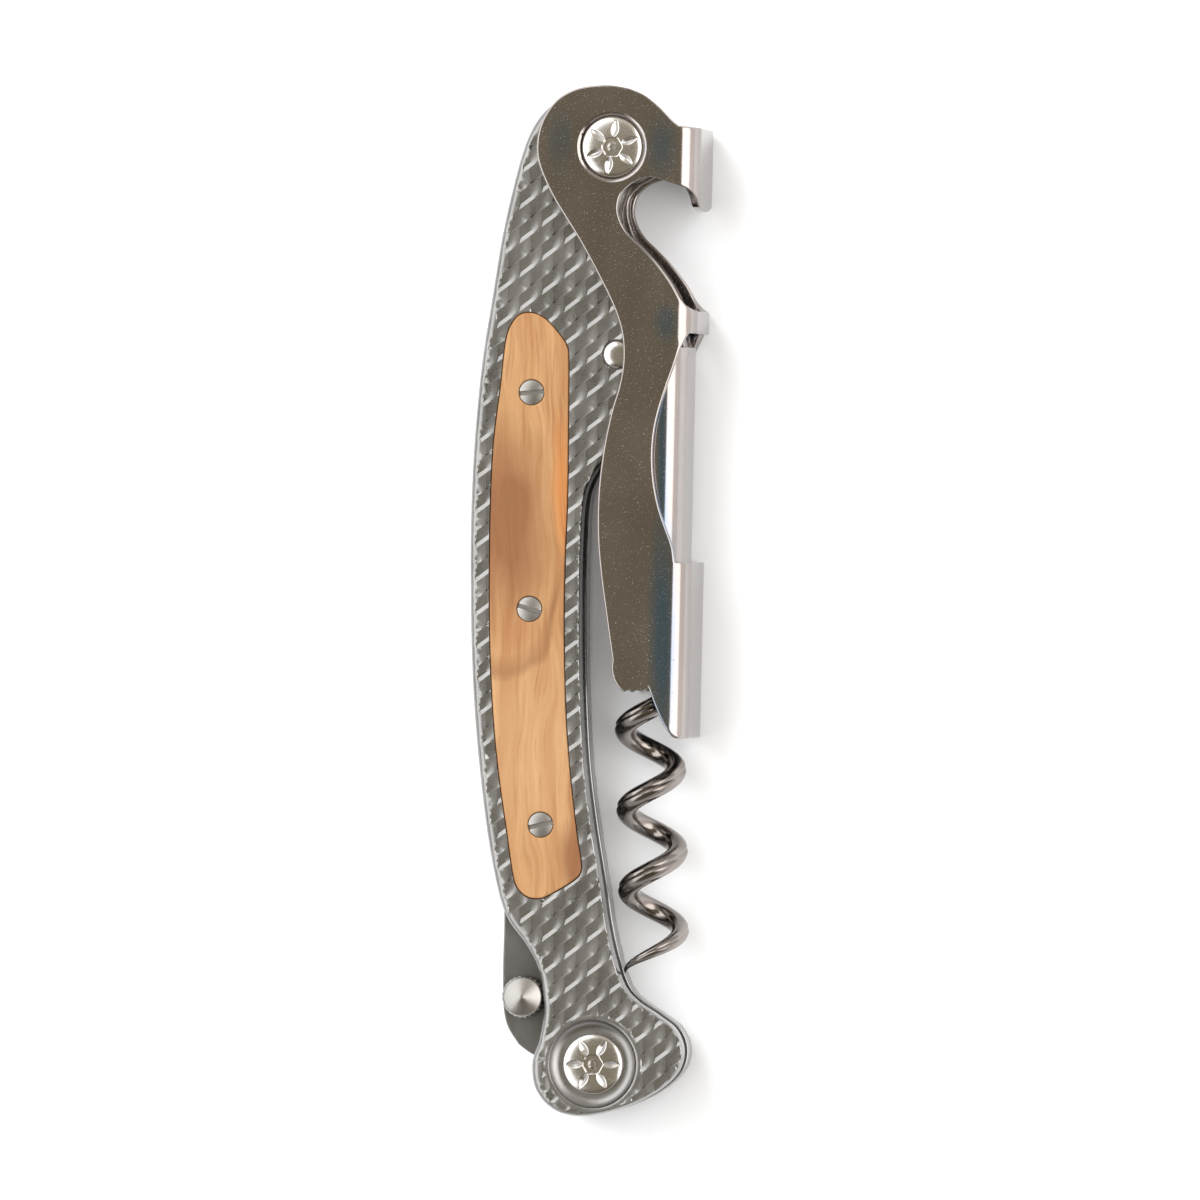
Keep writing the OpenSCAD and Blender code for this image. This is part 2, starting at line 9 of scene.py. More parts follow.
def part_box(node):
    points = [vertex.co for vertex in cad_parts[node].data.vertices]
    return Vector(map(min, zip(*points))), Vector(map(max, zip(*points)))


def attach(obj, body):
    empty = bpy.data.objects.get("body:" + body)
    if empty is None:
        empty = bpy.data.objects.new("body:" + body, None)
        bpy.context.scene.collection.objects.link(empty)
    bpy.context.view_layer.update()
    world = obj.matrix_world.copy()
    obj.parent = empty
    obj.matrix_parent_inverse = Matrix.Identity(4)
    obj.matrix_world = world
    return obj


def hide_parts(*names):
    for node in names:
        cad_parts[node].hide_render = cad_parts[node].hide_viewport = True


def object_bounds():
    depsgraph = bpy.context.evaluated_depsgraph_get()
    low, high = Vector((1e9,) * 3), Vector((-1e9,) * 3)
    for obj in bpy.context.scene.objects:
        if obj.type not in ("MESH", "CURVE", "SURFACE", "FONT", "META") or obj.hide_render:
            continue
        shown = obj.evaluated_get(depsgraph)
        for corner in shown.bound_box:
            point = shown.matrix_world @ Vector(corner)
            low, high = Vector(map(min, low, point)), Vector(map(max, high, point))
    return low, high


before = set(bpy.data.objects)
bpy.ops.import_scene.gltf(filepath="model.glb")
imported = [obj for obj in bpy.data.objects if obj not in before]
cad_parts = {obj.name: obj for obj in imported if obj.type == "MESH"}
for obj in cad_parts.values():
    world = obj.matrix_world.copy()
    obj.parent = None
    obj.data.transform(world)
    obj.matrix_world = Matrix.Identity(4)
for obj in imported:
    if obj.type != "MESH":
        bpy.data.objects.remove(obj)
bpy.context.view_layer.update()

# Lever corkscrew, closed and lying flat. All lengths below are in millimetres, in the CAD's frame.
MM = 0.001


def middle(node):
    """Centre of a CAD node's box, in millimetres."""
    low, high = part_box(node)
    return np.array([(low[i] + high[i]) / 2 / MM for i in range(3)])


def top_of(node):
    """Highest Z of a CAD node, in millimetres."""
    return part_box(node)[1][2] / MM


HALF_T = top_of("front_scale")
HALF_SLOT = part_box("front_scale")[0][2] / MM
HALF_LEVER = top_of("outer_lever")
LEVER_PIVOT = middle("lever_pivot_screw")[:2]
BLADE_PIVOT = middle("blade_pivot_screw")[:2]
WORM_PIVOT = middle("worm_pin")[:2]
STUD = middle("thumb_stud")[:2]
POCKET_Z = HALF_T - 1.5
BACK_BAND, BELLY_BAND, BAND_H = 0.9, 0.15, 0.8
BARREL_R, HEAD_R, HEAD_RISE = 2.0, 3.5, 0.35
FIXED_R, RUNNING_R = BARREL_R + 0.02, BARREL_R + 0.05
WORM_BORE_R, WORM_SINK_R = 1.27, 1.8
POCKET_LIP = 0.05
RING_FLOOR_Z, RING_RIM_R = HALF_T - 0.7, 5.3
SHEET_T, BEND_R, STEP_INSET = 1.0, 2.4, 1.3
STEP_HALF = HALF_LEVER - SHEET_T - 0.3
SEAT_Z = HALF_LEVER - 0.65
SPINE_TILT, SPINE_FOOT = math.radians(1.28), np.array([12.3, -8.0])

# Control points of the outlines, as in the CAD
HANDLE = [
    [3.4, 58.9], [0.2, 58.7], [-2.6, 57.8], [-4.8, 55.9], [-6.4, 52.8], [-7.8, 47.9],
    [-9.1, 42.1], [-10.2, 35.4], [-11.4, 28.0], [-12.3, 19.0], [-12.75, 10.0],
    [-12.8, 1.2], [-12.6, -8.0], [-12.0, -17.0], [-10.9, -26.5], [-9.6, -33.6],
    [-8.4, -37.0], [-6.4, -39.8], [-4.95, -42.5], [-4.3, -45.6], [-4.2, -48.3],
    [-4.7, -51.4], [-5.5, -53.9], [-5.3, -56.4], [-4.1, -58.3], [-2.2, -59.4],
    [0.6, -59.6], [4.4, -58.7], [8.0, -57.0], [10.4, -54.9], [11.1, -52.6],
    [10.3, -50.4], [8.3, -48.8], [5.8, -47.1], [4.2, -45.2], [3.1, -42.0],
    [2.2, -37.9], [1.4, -32.5], [0.3, -25.5], [-0.5, -18.5], [-0.9, -10.0],
    [-1.0, -1.0], [-0.85, 7.0], [-0.35, 12.4], [1.4, 16.0], [4.2, 19.3], [6.1, 23.4],
    [6.9, 28.4], [6.1, 33.9], [4.4, 39.0], [3.0, 43.2], [2.8, 45.9], [3.9, 48.5],
    [5.8, 49.6], [7.3, 51.3], [7.7, 53.6], [7.0, 56.3], [5.6, 58.2],
]
INLAY = [
    [-9.4, 30.4], [-10.1, 24.5], [-10.85, 18.7], [-11.2, 12.4], [-11.35, 4.0],
    [-11.3, -5.0], [-10.95, -13.0], [-10.3, -20.0], [-9.4, -26.4], [-8.7, -31.3],
    [-8.2, -33.3], [-7.1, -34.5], [-5.65, -34.8], [-4.2, -34.3], [-1.5, -32.7],
    [-0.65, -31.7], [-0.62, -30.3], [-1.2, -26.4], [-1.9, -20.0], [-2.4, -13.0],
    [-2.6, -4.0], [-2.5, 4.1], [-2.2, 11.7], [-2.1, 18.7], [-2.05, 27.6],
    [-2.25, 29.6], [-3.3, 31.2], [-4.7, 32.7], [-6.0, 33.4], [-7.3, 33.45],
    [-8.4, 32.7],
]
INLAY_SCREWS = [[-6.4, 24.2], [-6.65, -1.05], [-5.35, -26.2]]
INLAY_SLOTS = [5, -18, 13]
TOP_SPACER = [
    [3.4, 58.3], [0.2, 58.0], [-2.5, 57.0], [-4.4, 55.0], [-6.2, 51.6], [-7.6, 46.0],
    [-9.0, 40.0], [-10.1, 33.5], [-10.9, 27.5], [-9.8, 24.8], [-7.4, 24.3], [-5.0, 25.4],
    [-4.0, 28.8], [-2.6, 32.0], [0.4, 33.2], [2.8, 33.4], [5.0, 33.8], [4.3, 36.6],
    [3.3, 39.8], [2.3, 43.2], [2.2, 46.0], [3.5, 49.1], [5.6, 50.2], [6.8, 51.7],
    [7.1, 53.6], [6.4, 55.9], [5.2, 57.6],
]
MIDDLE_SPACER = [
    [-8.4, 21.6], [-10.6, 20.8], [-11.6, 17.0], [-12.0, 9.0], [-12.0, 1.0], [-11.0, -2.5],
    [-8.8, -3.8], [-7.0, -2.2], [-6.7, 2.0], [-6.3, 8.0], [-5.9, 15.0], [-6.4, 20.2],
]
SPRING = [
    [-0.6, 30.6], [-0.7, 27.0], [-1.3, 20.0], [-2.4, 11.0], [-2.9, 2.0], [-2.7, -8.0],
    [-2.0, -18.0], [-1.0, -27.0], [0.3, -35.0], [1.6, -42.0], [2.5, -48.9],
]
OUTER_LEFT = [
    [5.5, 59.5], [3.0, 59.9], [-0.3, 59.6], [-2.7, 58.5], [-4.2, 56.8], [-5.1, 54.8],
    [-5.4, 52.6], [-5.1, 50.6], [-4.3, 48.6], [-3.3, 46.6], [-1.95, 44.4], [-0.5, 42.1],
    [0.9, 39.6], [2.1, 37.3], [3.24, 35.0], [4.07, 33.0], [4.6, 31.0], [4.78, 29.0],
    [4.66, 26.9], [4.2, 24.6], [3.4, 22.0], [2.53, 18.0], [1.88, 13.0], [1.75, 8.0],
    [2.06, 3.5], [2.8, -2.2], [3.48, -7.0],
]
OUTER_TOE = [[3.36, -7.9], [3.6, -9.1], [4.2, -10.2], [4.9, -10.7]]
OUTER_SCALLOPS = [[4.9, -10.7], [5.3, -10.5], [5.8, -10.75], [6.35, -10.5], [6.95, -10.7]]
OUTER_BOOT = [[7.67, -10.05], [8.3, -11.8], [9.1, -13.7], [9.9, -15.1], [10.6, -15.8], [11.3, -16.1]]
OUTER_WINDOW = [
    [10.9, 4.4], [10.6, 6.1], [9.9, 8.0], [9.0, 10.6], [8.4, 13.6], [8.2, 16.6],
    [8.4, 19.4], [8.9, 21.8], [9.7, 24.4], [10.6, 26.9], [11.5, 29.2], [12.5, 31.0],
]
OUTER_MOUTH = [
    [12.2, 34.2], [11.3, 35.3], [10.2, 37.1], [8.6, 39.2], [6.9, 41.0], [5.3, 42.6],
    [4.4, 44.2], [4.13, 45.7], [4.5, 47.2], [5.5, 48.3], [6.8, 49.0], [8.1, 49.2],
    [9.4, 48.8], [10.6, 48.4], [11.6, 48.1], [12.3, 47.8], [12.9, 47.3], [13.3, 46.6],
]
OUTER_CROWN = [[11.3, 55.1], [10.5, 55.75], [9.75, 56.55], [8.7, 57.6], [7.2, 58.75], [5.5, 59.5]]
BACK_CROWN = [[9.5, 54.95], [8.9, 55.6], [8.1, 56.5], [7.0, 57.6], [5.6, 58.75], [4.2, 59.55]]
BOOT_Y, WINDOW_Y, TAB_LOW_Y, TAB_HIGH_Y = -16.1, 4.4, 31.0, 33.6
HOOK_LOW_Y, HOOK_HIGH_Y, LIP_Y = 45.75, 54.9, 45.25
STEP_LEFT = [
    [3.4, 58.2], [-0.2, 57.6], [-2.4, 56.0], [-3.4, 53.2], [-3.2, 50.2], [-2.0, 47.0],
    [-0.1, 43.6], [1.8, 40.2], [3.6, 36.8], [5.0, 33.6], [5.7, 30.4], [5.8, 27.2],
    [5.0, 23.2], [3.9, 18.8], [3.3, 14.0], [3.3, 9.4],
]
STEP_TOE = [[3.3, 9.4], [3.8, 7.6], [5.2, 6.9], [7.0, 6.9]]
STEP_BOOT = [[7.6, 7.5], [8.1, 5.7], [8.9, 4.2], [9.7, 3.4], [10.3, 3.2]]
STEP_RIGHT = [
    [10.6, 31.0], [10.3, 33.6], [9.5, 35.8], [7.7, 38.6], [5.9, 40.8], [4.5, 42.4],
    [3.8, 44.2], [3.6, 45.8], [3.9, 47.2], [5.1, 48.5], [6.6, 49.3], [7.9, 50.6],
    [8.6, 52.8], [8.1, 55.4], [6.3, 57.4], [3.4, 58.2],
]
STEP_LOW_Y, STEP_HIGH_Y = 3.2, 29.5
BLADE_HEEL = [[-5.6, -53.5], [-6.4, -53.25], [-7.3, -52.8], [-8.5, -51.9]]
BLADE_BACK = [
    [-8.5, -51.9], [-9.7, -50.0], [-10.25, -47.8], [-10.35, -43.4], [-10.2, -38.0],
    [-10.2, -32.0], [-10.2, -26.5], [-9.6, -20.0], [-8.2, -13.5], [-6.7, -9.6],
    [-5.3, -7.6],
]
BLADE_EDGE = [[-5.3, -7.6], [-4.5, -11.5], [-3.8, -19.0], [-2.8, -28.0], [-1.5, -36.0]]
BLADE_RICASSO = [[-1.5, -36.0], [-0.5, -41.5], [0.2, -45.0], [0.8, -49.5]]

# Scooped texture of the side plates: skewed bricks in rows that rise to the right
ROW_SLOPE = math.tan(math.radians(36.3))
ROW_PITCH, CELL_W = 1.985, 2.64
ROW_START, CELL_START = -40.045, -2.58
SCOOP_DEPTH, SCOOP_TAPER = 0.19, 0.7
SCOOP_LOW = (0.72, 0.885)
SCOOP_RAMP, SCOOP_SHELF, SCOOP_END = 0.01, 0.6, 0.88
BOSS_R = 5.7

# ---------------------------------------------------------------- curves


def ease(low, high, x):
    """Smooth step from 0 at low to 1 at high."""
    t = np.clip((x - low) / (high - low), 0, 1)
    return t * t * (3 - 2 * t)


def between(a, b, c, d, t):
    """Catmull-Rom points from b to c at the shares t."""
    t = t[:, None]
    curve = 2 * b + (c - a) * t + (2 * a - 5 * b + 4 * c - d) * t * t
    return 0.5 * (curve + (3 * b - a - 3 * c + d) * t ** 3)


def shares(a, b, step):
    count = max(1, math.ceil(float(np.linalg.norm(b - a)) / step))
    return np.arange(count) / count


def stretch(points, step=0.4, last=True):
    """Open smooth curve through the points."""
    p = np.array(points, float)
    runs = []
    for i in range(len(p) - 1):
        a, d = p[max(i - 1, 0)], p[min(i + 2, len(p) - 1)]
        runs.append(between(a, p[i], p[i + 1], d, shares(p[i], p[i + 1], step)))
    if last:
        runs.append(p[-1:])
    return np.vstack(runs)


def loop(points, step=0.4):
    """Closed smooth curve through the points."""
    p = np.array(points, float)
    n = len(p)
    runs = []
    for i in range(n):
        b, c = p[i], p[(i + 1) % n]
        runs.append(between(p[i - 1], b, c, p[(i + 2) % n], shares(b, c, step)))
    return np.vstack(runs)


def circle(centre, r, step=0.3, clockwise=False):
    n = max(24, math.ceil(2 * math.pi * r / step))
    a = np.arange(n) * 2 * math.pi / n
    if clockwise:
        a = -a
    return np.array(centre) + r * np.column_stack([np.cos(a), np.sin(a)])


def area(p):
    q = np.roll(p, -1, axis=0)
    return 0.5 * float(np.sum(p[:, 0] * q[:, 1] - q[:, 0] * p[:, 1]))


def wound(p, clockwise=False):
    """The loop counterclockwise, or clockwise for a hole."""
    return p[::-1].copy() if (area(p) > 0) == clockwise else p


def normals(p):
    """Mitred normals of a closed loop, pointing out of a counterclockwise one."""
    ahead = np.roll(p, -1, axis=0) - p
    ahead /= np.linalg.norm(ahead, axis=1)[:, None]
    n1 = np.column_stack([ahead[:, 1], -ahead[:, 0]])
    n0 = np.roll(n1, 1, axis=0)
    return (n0 + n1) / np.maximum(1 + np.sum(n0 * n1, axis=1), 0.6)[:, None]


def inside(points, polygon):
    """True for the points inside a polygon."""
    x, y = points[:, 0], points[:, 1]
    hit = np.zeros(len(points), bool)
    for (ax, ay), (bx, by) in zip(polygon, np.roll(polygon, -1, axis=0)):
        if ay != by:
            hit ^= ((ay > y) != (by > y)) & (x < (bx - ax) * (y - ay) / (by - ay) + ax)
    return hit


def in_region(points, loops):
    """True for the points inside the first loop and outside the others."""
    keep = inside(points, loops[0])
    for hole in loops[1:]:
        keep &= ~inside(points, hole)
    return keep


def nearest(points, targets):
    """Distance from each point to the nearest target."""
    tree = kdtree.KDTree(len(targets))
    for i, p in enumerate(targets):
        tree.insert((p[0], p[1], 0), i)
    tree.balance()
    return np.array([tree.find((p[0], p[1], 0))[2] for p in points])


def clear(points, loops, margin):
    """True for the points that lie in the region and keep a margin from its edges."""
    keep = in_region(points, loops)
    keep[keep] = nearest(points[keep], np.vstack(loops)) > margin
    return keep


def clear_of(points, loops, margin):
    return points[clear(points, loops, margin)]


def lattice(loops, step):
    """Staggered grid points inside a region."""
    low, high = loops[0].min(axis=0), loops[0].max(axis=0)
    rows = np.arange(low[1], high[1], step * 0.866)
    runs = []
    for k, y in enumerate(rows):
        x = np.arange(low[0] + (k % 2) * step / 2, high[0], step)
        runs.append(np.column_stack([x, np.full(len(x), y)]))
    return clear_of(np.vstack(runs), loops, 0.45 * step)


# ---------------------------------------------------------------- meshes


class Shell:
    """Points and faces of one closed mesh, in millimetres."""

    def __init__(self):
        self.points = []
        self.faces = []
        self.second = (0, 0)

    def add(self, points):
        start = len(self.points)
        self.points.extend(tuple(map(float, p)) for p in points)
        return list(range(start, len(self.points)))

    def bridge(self, a, b):
        """Quads between two closed rings with as many points each."""
        n = len(a)
        for i in range(n):
            j = (i + 1) % n
            self.faces.append((a[i], b[i], b[j], a[j]))

    def fan(self, tip, ring):
        n = len(ring)
        for i in range(n):
            self.faces.append((tip, ring[i], ring[(i + 1) % n]))

    def patch(self, net, lift, flip=False):
        """A triangulated region raised by lift(points). Returns the rings of its loops."""
        points, triangles, rings = net
        ids = self.add(lift(points))
        for a, b, c in triangles:
            self.faces.append((ids[c], ids[b], ids[a]) if flip else (ids[a], ids[b], ids[c]))
        return [[ids[i] for i in ring] for ring in rings]


def triangulate(loops, extra, lines=()):
    """Delaunay net of a region: (points, triangles, indices of each loop).
    Neighbouring points of a line are joined by an edge, unless they lie too far apart."""
    points = np.vstack([*loops, *lines, extra]) if len(extra) else np.vstack([*loops, *lines])
    edges, rings, start = [], [], 0
    for line in loops:
        n = len(line)
        edges += [(start + i, start + (i + 1) % n) for i in range(n)]
        rings.append(range(start, start + n))
        start += n
    for line in lines:
        near = np.linalg.norm(np.diff(line, axis=0), axis=1) < 1.0
        edges += [(start + i, start + i + 1) for i in np.flatnonzero(near).tolist()]
        start += len(line)
    result = delaunay_2d_cdt([Vector(p) for p in points], edges, [], 0, 1e-7)
    net = np.array([v[:] for v in result[0]])
    place = {old: new for new, group in enumerate(result[3]) for old in group}
    triangles = np.array([f for f in result[2] if len(f) == 3])
    triangles = triangles[in_region(net[triangles].mean(axis=1), loops)]
    return net, triangles.tolist(), [[place[i] for i in ring] for ring in rings]


def flat(z):
    """Lifts plane points to the height z."""
    return lambda p: np.column_stack([p, np.full(len(p), z)])


def make(name, shell, body, node, slot, mirror=False, sharp=40, weighted=True):
    """Turns a shell into a piece that rides on a body and stands for a CAD node. It takes the
    slot's finish, and the shell's second range of faces takes the wall finish."""
    points = np.array(shell.points) * MM
    if mirror:
        points[:, 2] *= -1
    mesh = bpy.data.meshes.new(name)
    mesh.from_pydata(points.tolist(), [], shell.faces)
    for face in mesh.polygons[shell.second[0]:shell.second[1]]:
        face.material_index = 1
    work = bmesh.new()
    work.from_mesh(mesh)
    loose = [v for v in work.verts if not v.link_faces]
    bmesh.ops.delete(work, geom=loose, context="VERTS")
    bmesh.ops.recalc_face_normals(work, faces=work.faces)
    work.to_mesh(mesh)
    work.free()
    mesh.shade_smooth()
    mesh.set_sharp_from_angle(angle=math.radians(sharp))
    piece = bpy.data.objects.new(name, mesh)
    bpy.context.scene.collection.objects.link(piece)
    mesh.materials.append(FINISHES[slot])
    if shell.second[1]:
        mesh.materials.append(FINISHES["wall_steel"])
    if weighted:
        piece.modifiers.new("even shading", "WEIGHTED_NORMAL").keep_sharp = True
    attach(piece, body)
    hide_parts(node)


def sheet(shell, loops, extra, place, thick, edge=0.12, steps=3):
    """Closed plate with rounded rims. place(points, depth) puts plane points at a depth in it."""
    shape = [(edge * (1 - math.sin(a)), edge * (1 - math.cos(a)))
             for a in np.linspace(0, math.pi / 2, steps + 1)]
    shape += [(inset, thick - depth) for inset, depth in reversed(shape)]
    ways = [normals(line) for line in loops]
    inner = [line - edge * way for line, way in zip(loops, ways)]
    rows = [line - 0.12 * way for line, way in zip(inner, ways)]
    net = triangulate(inner, np.vstack([clear_of(np.vstack(rows), inner, 0.07), extra]))
    top = shell.patch(net, lambda p: place(p, np.zeros(len(p))))
    low = shell.patch(net, lambda p: place(p, np.full(len(p), thick)), flip=True)
    for i, (line, way) in enumerate(zip(loops, ways)):
        ring = top[i]
        for inset, depth in shape[1:-1]:
            new = shell.add(place(line - inset * way, np.full(len(line), depth)))
            shell.bridge(ring, new)
            ring = new
        shell.bridge(ring, low[i])


def plate(loops, z_top, z_low, step=2.5, edge=0.12):
    """Flat plate between two heights."""
    shell = Shell()
    place = lambda p, depth: np.column_stack([p, z_top - depth])
    sheet(shell, loops, lattice(loops, step), place, z_top - z_low, edge)
    return shell


def turned(shell, centre, rings, count=96):
    """Surface of rings (radius, height) from the top of the axis to its foot.
    A radius or height may be an array with one number for each of count directions."""
    a = np.arange(count) * 2 * math.pi / count
    last = None
    for k, (r, z) in enumerate(rings):
        r, z = np.broadcast_to(r, count), np.broadcast_to(z, count)
        if k in (0, len(rings) - 1):
            tip = shell.add([(centre[0], centre[1], float(z.mean()))])[0]
            if k == 0:
                first = tip
                continue
            shell.fan(tip, last[::-1])
            continue
        ring = shell.add(np.column_stack([centre[0] + r * np.cos(a), centre[1] + r * np.sin(a), z]))
        if last is None:
            shell.fan(first, ring)
        else:
            shell.bridge(last, ring)
        last = ring


# ---------------------------------------------------------------- side plates


def scoops(p):
    """Depth of the texture at plane points."""
    w = (p[:, 1] - p[:, 0] * ROW_SLOPE - ROW_START) / ROW_PITCH
    row = np.floor(w)
    t = 1 - (w - row)
    wide = row % 2 == 0
    start = np.where(wide, CELL_START, CELL_START + CELL_W / 2)
    s = ((p[:, 0] - start) / CELL_W) % 1
    low = np.where(wide, SCOOP_LOW[0], SCOOP_LOW[1])
    fall = np.minimum(t / low, 1)
    rise = np.clip((1 - t) / (1 - low), 0, 1)
    ends = np.minimum(s / SCOOP_RAMP, np.clip((SCOOP_END - s) / (SCOOP_END - SCOOP_SHELF), 0, 1))
    along = np.minimum(ends, 1) * (1 - SCOOP_TAPER * s)
    depth = SCOOP_DEPTH * np.minimum(fall, rise) * along
    return depth * ease(BOSS_R - 0.08, BOSS_R + 0.08, np.linalg.norm(p - BLADE_PIVOT, axis=1))


def scoop_lines(low, high):
    """Lines of points that follow every ridge, floor and end wall of the texture."""
    columns = np.array([0, SCOOP_RAMP, 0.15, 0.3, 0.45, SCOOP_SHELF, 0.77, SCOOP_END])
    cells = np.arange(math.floor((low[0] - CELL_START) / CELL_W) - 1,
                      math.ceil((high[0] - CELL_START) / CELL_W) + 1)
    first = math.floor((low[1] - high[0] * ROW_SLOPE - ROW_START) / ROW_PITCH)
    final = math.ceil((high[1] - low[0] * ROW_SLOPE - ROW_START) / ROW_PITCH)
    lines = []
    for row in range(first, final):
        own, next_row = [CELL_START + (k % 2) * CELL_W / 2 + CELL_W * (cells[:, None] + columns).ravel()
                         for k in (row, row + 1)]
        floor_t = SCOOP_LOW[row % 2]
        levels = [0, 0.24, 0.48, floor_t, (floor_t + 1) / 2, 1]
        heights = [ROW_START + (row + 1 - t) * ROW_PITCH for t in levels]
        for w in heights[1:-1]:
            lines.append(np.column_stack([own, w + own * ROW_SLOPE]))
        for x in own[np.isin(np.arange(len(own)) % len(columns), (0, 1, 7))]:
            lines.append(np.column_stack([np.full(len(levels), x), np.array(heights) + x * ROW_SLOPE]))
        ridge = np.sort(np.concatenate([own, next_row]))
        w = ROW_START + (row + 1) * ROW_PITCH
        lines.append(np.column_stack([ridge, w + ridge * ROW_SLOPE]))
    return lines


def textured(p):
    return np.column_stack([p, HALF_T - scoops(p)])


def texture_lines(loops):
    """Lines of the texture inside the face, clear of its edges and of the pivot's boss."""
    lines = scoop_lines(loops[0].min(axis=0), loops[0].max(axis=0))
    every = np.vstack(lines)
    keep = clear(every, loops, 0.09) & (np.linalg.norm(every - BLADE_PIVOT, axis=1) > BOSS_R + 0.12)
    ends = np.cumsum([len(line) for line in lines])[:-1]
    return [line[kept] for line, kept in zip(lines, np.split(keep, ends)) if kept.any()]


def roll_edge(shell, ring, face, way, width):
    """Rolled band and plain wall round the face. Returns the last ring and the widest outline."""
    chamfer, chamfer_drop = 0.09, 0.065
    for a in np.linspace(0, math.pi / 2, 9):
        out = chamfer + (width - chamfer) * math.sin(a)
        drop = chamfer_drop + (BAND_H - chamfer_drop) * (1 - math.cos(a))
        new = shell.add(flat(HALF_T - drop)(face + out[:, None] * way))
        shell.bridge(ring, new)
        ring = new
    rim = face + width[:, None] * way
    wall_start = len(shell.faces)
    for inset, z in ((0, 2.6), (0, HALF_SLOT + 0.15), (0.05, HALF_SLOT + 0.04)):
        new = shell.add(flat(z)(rim - inset * way))
        shell.bridge(ring, new)
        ring = new
    shell.second = (wall_start, len(shell.faces))
    return ring, rim


def sink_pocket(shell, ring, pocket, way, gap):
    """Walls and floor of the pocket for the wood, down from the ring at its rim."""
    wall = pocket - gap * way
    for heights in (HALF_T - 0.06 - scoops(wall), np.full(len(wall), POCKET_Z + POCKET_LIP)):
        new = shell.add(np.column_stack([wall, heights]))
        shell.bridge(ring, new)
        ring = new
    bottom = wound(pocket - (gap - POCKET_LIP) * way)
    net = triangulate([bottom], lattice([bottom], 3.0))
    floor = shell.patch(net, flat(POCKET_Z))[0]
    shell.bridge(ring, floor[::-1])


def sink_bores(shell, rings, base):
    """Recess round the blade's pivot and the bores of the three pivots, from face to slot."""
    cove_r, reach, rise = 3.9, 1.4, 1.21
    cove = [(cove_r + reach * math.sin(a), RING_FLOOR_Z + rise * (1 - math.cos(a)))
            for a in np.radians([63, 56, 48, 40, 31, 21, 10, 0])]
    sink_r, sink_z = WORM_SINK_R - 0.05, 4.0
    bores = (
        (BLADE_PIVOT, (*cove, (FIXED_R, RING_FLOOR_Z))),
        (WORM_PIVOT, ((sink_r, HALF_T - 0.05), (sink_r, sink_z), (WORM_BORE_R, sink_z))),
        (LEVER_PIVOT, ()),
    )
    for (centre, shape), ring, low in zip(bores, rings, base):
        n = len(ring)
        for r, z in shape:
            a = -np.arange(n) * 2 * math.pi / n
            p = centre + r * np.column_stack([np.cos(a), np.sin(a)])
            new = shell.add(flat(z)(p))
            shell.bridge(ring, new)
            ring = new
        join(shell, ring, low)


def side_plate():
    """Scale with scooped face, polished band, pocket for the wood and pivot recess."""
    face = wound(loop(HANDLE, 0.16))
    way = normals(face)
    width = (BACK_BAND + BELLY_BAND) / 2 - (BACK_BAND - BELLY_BAND) / 2 * way[:, 0]
    bulge = np.minimum(1.5 * scoops(face), 0.35 * width)
    face = face + bulge[:, None] * way
    pocket = wound(loop(INLAY, 0.22), clockwise=True)
    pocket_way = normals(pocket)
    gap = 0.08
    loops = [
        face,
        pocket - (gap + POCKET_LIP) * pocket_way,
        circle(BLADE_PIVOT, RING_RIM_R, 0.22, clockwise=True),
        circle(WORM_PIVOT, WORM_SINK_R, 0.22, clockwise=True),
        circle(LEVER_PIVOT, FIXED_R, 0.3, clockwise=True),
    ]
    boss = [circle(BLADE_PIVOT, r, 0.2) for r in (5.45, BOSS_R - 0.08, BOSS_R, BOSS_R + 0.08)]
    shell = Shell()
    net = triangulate(loops, clear_of(np.vstack(boss), loops, 0.09), texture_lines(loops))
    rings = shell.patch(net, textured)
    ring, rim = roll_edge(shell, rings[0], face, way, width - bulge)
    low_loops = [rim - 0.15 * way]
    low_loops += [circle(c, r, 0.3, clockwise=True) for c, r in (
        (BLADE_PIVOT, FIXED_R), (WORM_PIVOT, WORM_BORE_R), (LEVER_PIVOT, FIXED_R))]
    base = shell.patch(triangulate(low_loops, lattice(low_loops, 3.0)), flat(HALF_SLOT), flip=True)
    shell.bridge(ring, base[0])
    sink_pocket(shell, rings[1], pocket, pocket_way, gap)
    sink_bores(shell, rings[2:], base[1:])
    return shell


def join(shell, ring, low):
    """Triangles between two rings round one axis with different numbers of points."""
    n, m = len(ring), len(low)
    i = k = 0
    while i < n or k < m:
        if k >= m or (i < n and (i + 1) / n <= (k + 1) / m):
            shell.faces.append((ring[i % n], low[k % m], ring[(i + 1) % n]))
            i += 1
        else:
            shell.faces.append((ring[i % n], low[k % m], low[(k + 1) % m]))
            k += 1


def wood_panel():
    """Inlay with a faint crown and holes for its screws."""
    outline = wound(loop(INLAY, 0.4))
    holes = [circle(c, 1.5, 0.25, clockwise=True) for c in INLAY_SCREWS]
    loops = [outline, *holes]
    thick = HALF_T - POCKET_Z - 0.02

    def place(p, depth):
        crown = 0.07 * ease(0, 2.5, nearest(p, outline)) * (1 - depth / thick)
        return np.column_stack([p, HALF_T - depth + crown])

    shell = Shell()
    sheet(shell, loops, lattice(loops, 0.9), place, thick, 0.16)
    return shell


